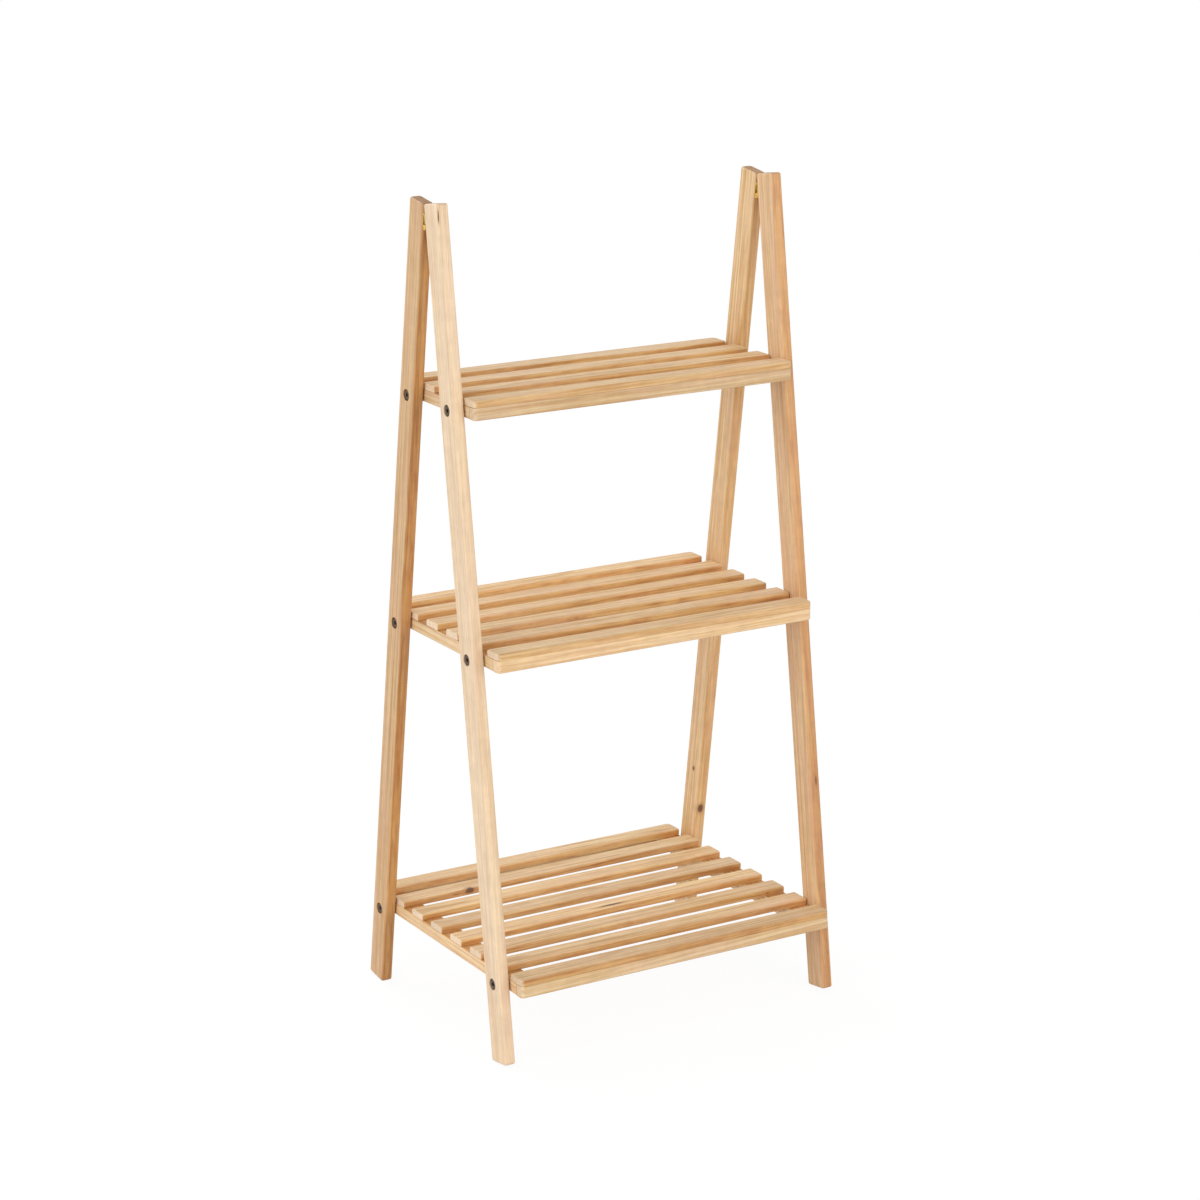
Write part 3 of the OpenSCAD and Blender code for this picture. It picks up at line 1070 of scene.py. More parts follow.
@dataclass
class Board:
    """A planed, sanded board. Its own axes are x along the grain, y across and z through.

    Attributes:
        node: The node that it stands for.
        slot: The record's slot of its finish. Not used.
        size: Its length, width and thickness.
        edges: Radii of its long edges.
        place: Its frame in the stand.
        cut: How it was cut from its tree.
        marks: Its knots and streaks, three at most.
        trims: How much shorter than drawn it was sawn, at its low and high end.
        ease: How far its ends are rounded over.
        end_grey: How much greyer its ends are than its faces, from 0 to 1.
        end_pale: How much paler its ends are than its faces, from 0 to 1: painted
        light on the end faces.
        face_brown: How much browner its upper and lower faces are than its edges:
        painted shade, which shows on a rail's top in the gaps between the slats.
    """

    MARK_NAMES = ("mark_a", "mark_b", "mark_c")
    OUT_OF_REACH = (99.0, 0.0, 0.0)    # where all points lie from a mark that isn't there

    node: str
    slot: str
    size: tuple[float, float, float]
    edges: Edges
    place: Matrix
    cut: Cut
    marks: tuple[Mark, ...] = ()
    trims: Point = (0.0, 0.0)
    ease: Ease = Ease()
    end_grey: float = 0.0
    end_pale: float = 0.0
    face_brown: float = 0.0

    def build(self, material: Material, tools: Sequence[Tool] = ()) -> None:
        """Saw, ease and bore the board, and set it in the stand.

        Args:
            material: Its finish.
            tools: The borers and their places in the stand's frame.
        """
        length, width, thickness = self.size
        low, high = self.trims
        blank = eased_bar(length - low - high, width, thickness, self.edges, self.ease)
        blank.transform(Matrix.Translation(((low - high) / 2, 0, 0)))
        piece = Workpiece(f"{self.node}_board", blank, self.place)
        piece.work(tools)
        self.stamp_grain(piece.mesh)
        piece.hand_over(self.node, material)

    def stamp_grain(self, mesh: Mesh) -> None:
        """Write the board's grain and marks onto its mesh, in mm.

        Args:
            mesh: The board in the stand's frame.
        """
        home = self.place.inverted()
        local = [home @ v.co for v in mesh.vertices]
        cut = self.cut
        self._stamp(mesh, "grain", "FLOAT_VECTOR", "POINT", (
            (p.x + cut.start, p.y - cut.pith[0] + cut.slope[0] * p.x,
             p.z - cut.pith[1] + cut.slope[1] * p.x) for p in local))
        for name, mark in zip_longest(self.MARK_NAMES, self.marks):
            self._stamp(mesh, name, "FLOAT_VECTOR", "POINT", (
                tuple((v - m) / r for v, m, r in zip(p, mark.at, mark.reach)) if mark
                else self.OUT_OF_REACH for p in local))
            soft = mark.soft if mark else 0.0
            self._stamp(mesh, f"{name}_soft", "FLOAT", "POINT", (soft for _ in local))
        turn = self.place.to_3x3().normalized()
        # Per face: grey end grain, painted shade on narrow edges and rail faces, painted light
        # on the ends
        for name, base, shares in (("end_grain", 0.0, (self.end_grey, 0.0, 0.0)),
                                   ("edge_grain", 0.0, (0.0, cut.edge_brown, self.face_brown)),
                                   ("paleness", cut.paleness, (self.end_pale, 0.0, 0.0))):
            self._stamp(mesh, name, "FLOAT", "FACE",
                        (base + sum(share * face.normal.dot(turn.col[axis]) ** 2
                                    for axis, share in enumerate(shares))
                         for face in mesh.polygons))
        for name in ("ring", "tone", "warmth"):
            value = getattr(cut, name)
            self._stamp(mesh, name, "FLOAT", "POINT", (value for _ in local))

    @staticmethod
    def _stamp(mesh: Mesh, name: str, kind: str, domain: str,
               values: Iterator[Any]) -> None:
        """Write one attribute.

        Args:
            mesh: The mesh.
            name: The attribute's name.
            kind: Blender's name of its data type.
            domain: Blender's name of what carries it.
            values: A number or a vector for each point or face.
        """
        layer = mesh.attributes.new(name, kind, domain)
        flat = []
        for value in values:
            flat.extend(value if isinstance(value, tuple) else (value,))
        layer.data.foreach_set("vector" if kind == "FLOAT_VECTOR" else "value", flat)


# ---------------------------------------------------------------- borers


def along_x(x: float, y: float, z: float, side: Side) -> Matrix:
    """Give a frame whose x points from the middle of the stand outwards.

    Args:
        x: Distance of its origin from the middle.
        y: Place along Y.
        z: Height.
        side: Left or right.

    Returns:
        The frame, mirrored on the left.
    """
    return Matrix.Translation((side.value * x, y, z)) @ Matrix.Diagonal((side.value, 1, 1, 1))


def brad_borer(at: Vector) -> Tool:
    """Give the borer of a brad that is driven upwards.

    Args:
        at: The face of the brad's head.

    Returns:
        The borer and its place.
    """
    head = FIT.brad_head_r + FIT.clear
    shank = FIT.brad_r + FIT.clear
    top = ShelfSizes().rail_h + FIT.brad_in_slat + FIT.clear
    rings = (Ring(-OUTSIDE, head), Ring(FIT.brad_head_t, head), Ring(FIT.brad_head_t, shank),
             Ring(top, shank))
    return turned(rings, count=FEW_POINTS), Matrix.Translation(at) @ UPWARDS


# ---------------------------------------------------------------- the A-frames


@dataclass
class AFrame:
    """One side's two legs, with the bolts and nuts that carry the shelves.

    Attributes:
        side: Left or right.
        finishes: The stand's materials.
        edge: Radius of a leg's long edges.
        foot: How far a leg's ends are rounded over.
        worn_share: How bright the head of a bolt is rubbed, from 0 to 1.
        cuts: How each leg was cut.
        marks: The knots and streaks of each leg.
    """

    side: Side
    finishes: Finishes
    edge: float = 2.4
    foot: Ease = Ease(2.4, 2.4, 1.6)
    worn_share: float = 0.8
    cuts: dict[str, Cut] = field(default_factory=dict)
    marks: dict[str, tuple[Mark, ...]] = field(default_factory=dict)

    def build(self) -> None:
        """Build both legs and their fasteners."""
        for end in End:
            self.leg(end)
            self.bolts(end)
            self.nuts(end)

    def bolt_places(self, end: End) -> list[Matrix]:
        """Give the frames of a leg's bolts, at the middle of the stand.

        Args:
            end: Front or rear.

        Returns:
            The frames, whose x points outwards.
        """
        return [along_x(0, end.value * STANCE.bolt_y(t.bolt_z), t.bolt_z, self.side)
                for t in TIERS]

    def leg(self, end: End) -> None:
        """Build one leg, bored for its bolts and its hinge screws.

        Args:
            end: Front or rear.
        """
        node = f"{self.side.word}_{end.word}_leg"
        middle = Matrix.Translation((self.side.value * STANCE.mid_x,
                                     end.value * STANCE.leg_w / 2, -STANCE.leg_len / 2))
        upright = Matrix(((0, 0, -1, 0), (0, 1, 0, 0), (1, 0, 0, 0), (0, 0, 0, 1)))
        seat = STANCE.outer_half - FIT.head_sink - FIT.head_h
        rings = (Ring(STANCE.inner_half - OUTSIDE, FIT.hole_r), Ring(seat, FIT.hole_r),
                 Ring(seat, FIT.counterbore_r),
                 Ring(STANCE.outer_half - FIT.rim_break, FIT.counterbore_r),
                 Ring(STANCE.outer_half + OUTSIDE,
                      FIT.counterbore_r + OUTSIDE + FIT.rim_break))
        tools = [(turned(rings), place) for place in self.bolt_places(end)]
        hinge = Hinge(self.side, self.finishes)
        bore = hinge.screw_r + FIT.clear
        pilot = (Ring(-OUTSIDE, bore), Ring(hinge.screw_len + FIT.clear, bore))
        tools += [(turned(pilot, count=FEW_POINTS), at) for at in hinge.screw_places(end)]
        board = Board(
            node, "leg_wood", (STANCE.leg_len, STANCE.leg_w, STANCE.leg_t),
            Edges.alike(self.edge), STANCE.leg_frame(end) @ middle @ upright,
            self.cuts.get(node) or Cut.drawn(node, Sawn.QUARTER), self.marks.get(node, ()),
            ease=self.foot, end_grey=1.0)
        board.build(self.finishes.softwood, tools)

    def bolts(self, end: End) -> None:
        """Build a leg's three cap bolts, each with a hexagon socket.

        Args:
            end: Front or rear.
        """
        node = f"{self.side.word}_{end.word}_bolts"
        face = STANCE.outer_half - FIT.head_sink
        floor, under = face - FIT.socket_depth, face - FIT.head_h
        tip = nut_face() - FIT.bolt_end
        rings = [Ring(floor - FIT.drill_point, FIT.tip_r), Ring(floor, FIT.drill_r),
                 Ring(floor, math.inf, FIT.socket_af),
                 Ring(face - FIT.socket_flare_h, math.inf, FIT.socket_af),
                 Ring(face, math.inf, FIT.socket_af + FIT.socket_flare),
                 *edge_rings(face, FIT.head_r, -1, FIT.head_face)]
        worn = (4, len(rings) - 2)    # from the socket's mouth over the rounded edge
        crest, root = FIT.shank_r, FIT.shank_r - FIT.thread_depth
        rings += [*edge_rings(under, FIT.head_r, 1, FIT.head_back), Ring(under, crest)]
        along = nut_face() + FIT.nut_h
        while along - FIT.pitch > tip + FIT.bolt_tip[0][0]:
            rings += [Ring(at - flat, radius)
                      for at, radius in ((along, crest), (along - FIT.pitch / 2, root))
                      for flat in (0.0, FIT.thread_flat)]
            along -= FIT.pitch
        rings += [Ring(along, crest - FIT.thread_flat),
                  *edge_rings(tip, crest, 1, FIT.bolt_tip), Ring(tip, FIT.tip_r)]
        self._set(node, "bolt_bronze", self.finishes.bolt, end, (rings,), worn)

    def nuts(self, end: End) -> None:
        """Build the washers on both sides of each rail, and the nuts.

        Args:
            end: Front or rear.
        """
        inner, top = nut_face(), nut_face() + FIT.nut_h
        lip, half = FIT.hole_r + FIT.nut_bore_break, FIT.nut_af / 2
        nut = [Ring(inner, lip), *edge_rings(inner, half, 1, FIT.nut_crown, FIT.nut_af),
               *edge_rings(top, half, -1, FIT.nut_seat, FIT.nut_af), Ring(top, lip),
               Ring(top - FIT.nut_bore_break, FIT.hole_r),
               Ring(inner + FIT.nut_bore_break, FIT.hole_r)]
        shapes = (*map(self.washer, (STANCE.inner_half - FIT.washer_t, top)), nut)
        self._set(f"{self.side.word}_{end.word}_nuts", "nut_steel", self.finishes.nut, end,
                  shapes, closed=True)

    @staticmethod
    def washer(start: float) -> list[Ring]:
        """Give the rings of a stamped washer, rolled over on one side and cut on the other.

        Args:
            start: Distance of its rolled side from the middle of the stand.

        Returns:
            The rings.
        """
        stop, rim = start + FIT.washer_t, FIT.washer_r
        bore, lip = FIT.hole_r, FIT.washer_bore_break
        return [Ring(start, bore + lip), *edge_rings(start, rim, 1, FIT.washer_rolled),
                *edge_rings(stop, rim, -1, FIT.washer_cut), Ring(stop, bore + lip),
                Ring(stop - lip, bore), Ring(start + lip, bore)]

    def _set(self, node: str, slot: str, material: Material, end: End,
             shapes: Sequence[Sequence[Ring]], worn: tuple[int, int] | None = None,
             closed: bool = False) -> None:
        """Turn some shapes and set one of each at every bolt of a leg.

        Args:
            node: The node that the piece stands for.
            slot: The record's slot of its finish. Not used.
            material: Its finish.
            end: Front or rear.
            shapes: The rings of each shape.
            worn: First and last row of the faces that are rubbed bright.
            closed: True if each shape is ring-shaped.
        """
        piece = Workpiece(node + "_set", bpy.data.meshes.new(node))
        piece.merge([(turned(rings, closed), place) for place in self.bolt_places(end)
                     for rings in shapes])
        if worn:
            rows = piece.mesh.attributes["row"].data
            layer = piece.mesh.attributes.new("worn", "FLOAT", "FACE")
            layer.data.foreach_set("value", [
                self.worn_share * (worn[0] <= row.value <= worn[1]) for row in rows])
        piece.hand_over(node, material)


def nut_face() -> float:
    """Give the distance from the middle of the stand to a nut's inner face."""
    rail = ShelfSizes().length / 2 - ShelfSizes().rail_w
    return rail - FIT.play - FIT.washer_t - FIT.nut_h


# ---------------------------------------------------------------- the hinges


@dataclass
class Hinge:
    """A small brass butt hinge between two leg tops.

    Attributes:
        side: Left or right.
        finishes: The stand's materials.
        length: Its length along the pin.
        knuckle_r: Radius of its knuckles.
        pin_r: Radius of its pin.
        gap: Gap between two knuckles.
        leaf_t: Thickness of a leaf.
        leaf_h: Height of a leaf above the pin.
        leaf_foot: How far a leaf reaches below the pin.
        screw_x: Distance of a screw from the middle of the leaf.
        screw_low: Height of the lower screw above the pin.
        screw_step: Height of the upper screw above the lower one.
        screw_r: Radius of a screw's shank.
        screw_head_r: Radius of its countersunk head.
        screw_head_rim: Depth of the head's cylindrical rim.
        screw_cone: Depth of the whole head.
        screw_len: Its length.
        thread_from: Where its thread starts.
        thread_step: From one turn of the thread to the next.
        thread_root: Radius of the thread's root, as a share of the shank's.
        cross: Half length and half width of the arms of its cross recess.
        cross_deep: Depth of the recess.
        cross_turn: How far the recess is turned, in radians.
        leaf_corner: Radius of a leaf's corners.
        leaf_ease: How far a leaf's faces are rounded over.
        knuckle_break: How far a knuckle's ends are chamfered.
        knuckle_clear: Clearance of the pin in the rear leaf's knuckle.
        pin_dome: The domed ends of the pin: how far behind the tip, and the share of its
            radius, of each ring.
    """

    side: Side
    finishes: Finishes
    length: float = 12.0
    knuckle_r: float = 2.75
    pin_r: float = 1.3
    gap: float = 0.3
    leaf_t: float = 1.2
    leaf_h: float = 14.0
    leaf_foot: float = 1.375
    screw_x: float = 2.9
    screw_low: float = 6.0
    screw_step: float = 4.0
    screw_r: float = 1.1
    screw_head_r: float = 2.0
    screw_head_rim: float = 0.08
    screw_cone: float = 0.9
    screw_len: float = 11.0
    thread_from: float = 2.4
    thread_step: float = 0.9
    thread_root: float = 0.72
    cross: Point = (1.3, 0.26)
    cross_deep: float = 0.7
    cross_turn: float = 0.5
    leaf_corner: float = 0.9
    leaf_ease: Ease = Ease(0.12, 0.12, 0.12)
    knuckle_break: float = 0.15
    knuckle_clear: float = 0.05
    pin_dome: Steps = ((0.0, 0.6), (0.12, 0.85), (0.3, 1.0))

    def build(self) -> None:
        """Build both leaves, the pin and the screws."""
        for end in End:
            self.leaf(end)
            self.screws(end)
        self.pin()

    @property
    def pin_down(self) -> float:
        """Distance of the pin down the leg."""
        return STANCE.hinge_drop * math.cos(STANCE.splay)

    @property
    def pin_place(self) -> Matrix:
        """The frame of the pin's middle, whose x points outwards."""
        return along_x(STANCE.mid_x, 0, STANCE.apex_z - STANCE.hinge_drop, self.side)

    def screw_places(self, end: End) -> list[Matrix]:
        """Give the frames of a leaf's two screws, at the face of the leaf.

        Args:
            end: Front or rear.

        Returns:
            The frames, whose x points into the leg.
        """
        into_leg = Matrix.Rotation(end.value * math.pi / 2, 4, "Z")
        return [STANCE.leg_frame(end) @ Matrix.Translation((
            self.side.value * STANCE.mid_x + (2 * i - 1) * self.screw_x,
            -end.value * self.leaf_t,
            self.screw_low + i * self.screw_step - self.pin_down)) @ into_leg
            for i in (0, 1)]

    def leaf(self, end: End) -> None:
        """Build one leaf with its knuckles and countersunk holes.

        Args:
            end: Front or rear.
        """
        node = f"{self.side.word}_{end.word}_leaf"
        high = self.leaf_h + self.leaf_foot
        plate = eased_bar(self.leaf_t, self.length, high, Edges.alike(self.leaf_corner),
                          self.leaf_ease)
        place = STANCE.leg_frame(end) @ Matrix.Translation((
            self.side.value * STANCE.mid_x, -end.value * self.leaf_t / 2,
            high / 2 - self.leaf_foot - self.pin_down)) @ Matrix.Rotation(
                math.pi / 2, 4, "Z")
        piece = Workpiece(node + "_plate", plate, place)
        third = (self.length - 2 * self.gap) / 3
        outer = [(-self.length / 2, -self.length / 2 + third),
                 (self.length / 2 - third, self.length / 2)]
        middle = [(-third / 2, third / 2)]
        own, other = (outer, middle) if end is End.FRONT else (middle, outer)
        relief = self.knuckle_r + self.gap
        reach = self.gap * 0.99    # a hair short of the own knuckles' faces
        piece.work([(turned((Ring(a - reach, relief), Ring(b + reach, relief))),
                     self.pin_place) for a, b in other])
        piece.work([(turned(self._barrel(a, b)), self.pin_place) for a, b in own], "UNION")
        bore = self.pin_r + (FIT.clear if end is End.FRONT else self.knuckle_clear)
        tools = [(turned((Ring(-self.length, bore), Ring(self.length, bore))), self.pin_place)]
        head = self.screw_head_r
        cone = (Ring(-OUTSIDE, head + OUTSIDE), Ring(head - self.screw_r, self.screw_r),
                Ring(2 * self.leaf_t, self.screw_r))
        tools += [(turned(cone), at) for at in self.screw_places(end)]
        piece.work(tools)
        piece.hand_over(node, self.finishes.leaf)

    def _barrel(self, a: float, b: float) -> list[Ring]:
        """Give the rings of a knuckle with broken edges from a to b along the pin."""
        chamfer = ((0.0, self.knuckle_break), (self.knuckle_break, 0.0))
        return [*edge_rings(a, self.knuckle_r, 1, chamfer),
                *edge_rings(b, self.knuckle_r, -1, chamfer[::-1])]

    def pin(self) -> None:
        """Build the pin with its domed ends."""
        node = f"{self.side.word}_hinge_pin"
        half = self.length / 2
        rings = [Ring(-half, FIT.tip_r)]
        rings += [Ring(back - half, self.pin_r * share) for back, share in self.pin_dome]
        rings += [Ring(-ring.along, ring.radius) for ring in reversed(rings)]
        piece = Workpiece(node + "_rod", turned(rings), self.pin_place)
        piece.hand_over(node, self.finishes.screw)

    def screws(self, end: End) -> None:
        """Build a leaf's two countersunk cross-head screws.

        Args:
            end: Front or rear.
        """
        node = f"{self.side.word}_{end.word}_leaf_screws"
        head, shank, rim = self.screw_head_r - FIT.clear, self.screw_r, self.screw_head_rim
        rings = [Ring(0, head - rim), Ring(rim, head), Ring(self.screw_cone, shank)]
        along = self.thread_from
        while along < self.screw_len - 2:
            rings += [Ring(along, shank * self.thread_root),
                      Ring(along + self.thread_step / 2, shank)]
            along += self.thread_step
        rings += [Ring(self.screw_len, FIT.point_r)]
        piece = Workpiece(node + "_set", bpy.data.meshes.new(node))
        piece.merge([(turned(rings), place) for place in self.screw_places(end)])
        arm, half = self.cross
        cross = [(arm, half), (half, half), (half, arm)]
        for _ in range(3):
            cross += [(-y, x) for x, y in cross[-3:]]
        piece.work([(prism(cross, 2 * self.cross_deep),
                     place @ Matrix.Rotation(self.cross_turn, 4, "X"))
                    for place in self.screw_places(end)])
        piece.hand_over(node, self.finishes.screw)


# ---------------------------------------------------------------- the shelves


@dataclass(frozen=True)
class ShelfSizes:
    """Sizes that all three shelves share.

    A slat sits tight on its rails and aprons, so that the edges that meet there are almost
    sharp, and the others are rounded.
    """

    length: float = 393.0
    slat_w: float = 25.0
    slat_t: float = 7.5
    rail_w: float = 25.0
    rail_h: float = 13.5
    apron_t: float = 12.0
    slat_edges: Edges = Edges(1.9, 0.8)
    rail_edges: Edges = Edges(0.6, 2.0)
    rail_ease: Ease = Ease(0.25, 0.25, 0.25)
    end_round: float = 0.8
    joint_round: float = 0.35
    corner_round: float = 4.4
    most_trim: float = 0.4           # that a slat's end was sawn short
    arch_steps: int = 24             # in the round top of a hook slot
    brad_keepout: float = 10.0       # from a brad to a bolt's hole
    brad_inset: float = 25.0         # from a rail to an apron's outer brads


@dataclass
class Shelf:
    """One slatted shelf: two rails, two aprons, the slats, and the brads and dowels.

    Attributes:
        tier: Its level.
        finishes: The stand's materials.
        sizes: The sizes that all shelves share.
        rail_pale: How pale the rails and aprons are.
        front_brown: How brown the edges of the front slat are: less painted shade
        than on the slats behind it, and partly a browner edge grain.
        apron_ends: How much paler an apron's ends are than its faces: painted light.
        slat_ends: How much paler a slat's ends are than its faces: painted light.
        cuts: How chosen boards were cut. The others are drawn.
        marks: The knots and streaks of chosen boards.
    """

    tier: Tier
    finishes: Finishes
    sizes: ShelfSizes = ShelfSizes()
    rail_pale: float = 0.05
    front_brown: float = 0.45
    apron_ends: float = 0.3
    slat_ends: float = 0.5
    cuts: dict[str, Cut] = field(default_factory=dict)
    marks: dict[str, tuple[Mark, ...]] = field(default_factory=dict)

    def build(self) -> None:
        """Build the whole shelf."""
        for side in Side:
            self.rail(side)
        for end in End:
            self.apron(end)
        for number in range(1, self.tier.slats + 1):
            self.slat(number)
        self.brads()
        self.dowels()

    def slat_y(self, number: int) -> float:
        """Give the middle of a slat, counted from the front."""
        pitch = (self.tier.depth - self.sizes.slat_w) / (self.tier.slats - 1)
        return (self.sizes.slat_w - self.tier.depth) / 2 + (number - 1) * pitch

    def brad_places(self) -> list[Vector]:
        """Give the places of the brads' heads, under the rails and the aprons.

        Returns:
            The places in the stand's frame.
        """
        s, tier = self.sizes, self.tier
        bolt_y = STANCE.bolt_y(tier.bolt_z)
        low = tier.bolt_z - s.rail_h / 2
        rail_x = (s.length - s.rail_w) / 2
        rows = [y for y in map(self.slat_y, range(2, tier.slats))
                if abs(abs(y) - bolt_y) > s.brad_keepout]
        under_rails = [Vector((side.value * rail_x, y, low)) for side in Side for y in rows]
        reach = s.length / 2 - s.rail_w - s.brad_inset
        under_aprons = [Vector((k * reach, end.value * (tier.depth - s.apron_t) / 2, low))
                        for end in End for k in (-1, 0, 1)]
        return under_rails + under_aprons

    def dowel_borers(self) -> list[Tool]:
        """Give the borers of the dowels between rails and aprons.

        Returns:
            The borers and their places.
        """
        s, radius = self.sizes, FIT.dowel_r + FIT.clear
        joint = self.tier.depth / 2 - s.apron_t
        rings = (Ring(joint - FIT.dowel_in_rail - FIT.clear, radius),
                 Ring(joint + FIT.dowel_in_apron + FIT.clear, radius))
        return [(turned(rings, count=FEW_POINTS), Matrix.Translation(
            (side.value * (s.length - s.rail_w) / 2, 0, self.tier.bolt_z)) @ Matrix.Rotation(
                end.value * math.pi / 2, 4, "Z")) for side in Side for end in End]

    def borers_within(self, low: Vector, high: Vector) -> list[Tool]:
        """Give the brad borers that stand under a board.

        Args:
            low: The board's lowest corner.
            high: The board's highest corner.

        Returns:
            The borers and their places.
        """
        return [brad_borer(at) for at in self.brad_places()
                if low.x < at.x < high.x and low.y < at.y < high.y]

    def rail(self, side: Side) -> None:
        """Build one rail, with its front hole and its rear hook slot.

        Args:
            side: Left or right.
        """
        s, tier = self.sizes, self.tier
        node = f"{tier.name}_{side.word}_rail"
        middle = Vector((side.value * (s.length - s.rail_w) / 2, 0, tier.bolt_z))
        size = (tier.depth - 2 * s.apron_t, s.rail_w, s.rail_h)
        bolt_y = STANCE.bolt_y(tier.bolt_z)
        hole = turned((Ring(-s.rail_w, FIT.hole_r), Ring(s.rail_w, FIT.hole_r)))
        turns = [math.pi * k / s.arch_steps for k in range(s.arch_steps + 1)]
        arch = [(FIT.slot_r * math.cos(turn), FIT.slot_r * math.sin(turn)) for turn in turns]
        arch += [(-FIT.slot_r, -2 * s.rail_h), (FIT.slot_r, -2 * s.rail_h)]
        hook = prism(arch, 2 * s.rail_w)
        lean = Matrix.Rotation(-math.radians(tier.slot_lean), 4, "X")
        tools = [(hole, Matrix.Translation(middle + Vector((0, -bolt_y, 0)))),
                 (hook, Matrix.Translation(middle + Vector((0, bolt_y, 0))) @ lean)]
        half = Vector((s.rail_w, size[0], s.rail_h)) / 2
        tools += self.borers_within(middle - half, middle + half) + self.dowel_borers()
        place = Matrix(((0, -1, 0, middle.x), (1, 0, 0, middle.y), (0, 0, 1, middle.z),
                        (0, 0, 0, 1)))
        # A rail's upper and lower faces take painted shade, seen on its top between the slats
        board = Board(node, "shelf_wood", size, s.rail_edges, place,
                      self.cuts.get(node) or self.rail_cut(node, tier.rail_tone),
                      self.marks.get(node, ()), ease=s.rail_ease, face_brown=1.0)
        board.build(self.finishes.softwood, tools)

    def apron(self, end: End) -> None:
        """Build the apron that closes the rails at one end.

        Args:
            end: Front or rear.
        """
        s, tier = self.sizes, self.tier
        node = f"{tier.name}_{end.word}_apron"
        middle = Vector((0, end.value * (tier.depth - s.apron_t) / 2, tier.bolt_z))
        size = (s.length, s.apron_t, s.rail_h)
        half = Vector(size) / 2
        tools = self.borers_within(middle - half, middle + half) + self.dowel_borers()
        board = Board(node, "shelf_wood", size, s.rail_edges, Matrix.Translation(middle),
                      self.cuts.get(node) or self.rail_cut(node, tier.apron_tone),
                      self.marks.get(node, ()), ease=self.corner(end),
                      end_pale=self.apron_ends)
        board.build(self.finishes.softwood, tools)

    def rail_cut(self, node: str, tone: float) -> Cut:
        """Draw the cut of a rail or an apron: paler than a slat, no painted shade on its
        edges.
        """
        return Cut.drawn(node, Sawn.RIFT, tone=tone, paleness=self.rail_pale, edge_brown=0.0)

    def corner(self, end: End | None) -> Ease:
        """Give the easing of a slat's or an apron's ends, rounder at the shelf's corners.

        Args:
            end: The end of the shelf that the board closes, or None for an inner slat.

        Returns:
            The easing.
        """
        s = self.sizes
        low, high = (s.corner_round if end is side else s.end_round for side in End)
        return Ease(low, high, s.joint_round if end else s.end_round)

    def slat(self, number: int) -> None:
        """Build one slat, whose ends were sawn a little unevenly.

        Args:
            number: Its number, counted from the front.
        """
        s, tier = self.sizes, self.tier
        node = f"{tier.name}_slat_{number}"
        height = tier.bolt_z + (s.rail_h + s.slat_t) / 2
        middle = Vector((0, self.slat_y(number), height))
        size = (s.length, s.slat_w, s.slat_t)
        half = Vector(size) / 2
        draw = random.Random(node + "_ends")
        trims = (draw.uniform(0.0, s.most_trim), draw.uniform(0.0, s.most_trim))
        sawn = draw.choice((Sawn.PLAIN, Sawn.RIFT, Sawn.QUARTER))
        end = {1: End.FRONT, tier.slats: End.REAR}.get(number)
        # The front slat's edges take less painted shade than the slats behind it
        look = {"edge_brown": self.front_brown} if end is End.FRONT else {}
        cut = self.cuts.get(node) or Cut.drawn(node, sawn, tone=tier.slat_tones[number - 1],
                                               **look)
        board = Board(node, "slat_wood", size, s.slat_edges, Matrix.Translation(middle), cut,
                      self.marks.get(node, ()), trims, self.corner(end),
                      end_pale=self.slat_ends)
        board.build(self.finishes.softwood, self.borers_within(middle - half, middle + half))

    def brads(self) -> None:
        """Build the brads, with flat heads and drawn points."""
        node = f"{self.tier.name}_brads"
        head, shank, tall = FIT.brad_head_r, FIT.brad_r, FIT.brad_head_t
        top = self.sizes.rail_h + FIT.brad_in_slat
        rings = (Ring(FIT.brad_dimple, FIT.tip_r), *edge_rings(0.0, head, 1, FIT.brad_face),
                 *edge_rings(tall, head, -1, FIT.head_back), Ring(tall, shank),
                 Ring(top - FIT.brad_taper, shank), Ring(top, FIT.point_r))
        piece = Workpiece(node + "_set", bpy.data.meshes.new(node))
        piece.merge([(turned(rings, count=FEW_POINTS), Matrix.Translation(at) @ UPWARDS)
                     for at in self.brad_places()])
        piece.hand_over(node, self.finishes.brad)

    def dowels(self) -> None:
        """Give the dowels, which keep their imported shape, their finish."""
        node = f"{self.tier.name}_dowels"
        mesh = frame["nodes"][node].data
        mesh.materials.clear()
        mesh.materials.append(self.finishes.beech)
        LOG.info("%s keeps its shape, in %s", node, self.finishes.beech.name)


# ---------------------------------------------------------------- the studio


def aim(data: bpy.types.ID, place: Vector, way: Vector) -> Object:
    """Put a lamp or a camera in the scene.

    Args:
        data: The lamp's or the camera's data.
        place: Where it stands, in metres.
        way: Which way it faces.

    Returns:
        Its object.
    """
    obj = bpy.data.objects.new(data.name, data)
    bpy.context.scene.collection.objects.link(obj)
    obj.location = place
    obj.rotation_euler = way.to_track_quat("-Z", "Y").to_euler()
    return obj


@dataclass(frozen=True)
class SoftBox:
    """A large square lamp with an even face, aimed at the middle of the stand.

    Attributes:
        name: Its name.
        place: Its middle, in metres.
        size: Its edge length, in metres.
        watts: Its power.
        tint: Its colour.
        target: The point that it faces, in metres.
    """

    name: str
    place: tuple[float, float, float]
    size: float
    watts: float
    tint: str
    target: tuple[float, float, float] = (0.0, 0.0, 0.45)

    def build(self) -> None:
        """Hang the lamp."""
        data = bpy.data.lights.new(self.name, "AREA")
        data.size, data.energy, data.color = self.size, self.watts, to_linear(self.tint)[:3]
        aim(data, Vector(self.place), Vector(self.target) - Vector(self.place))


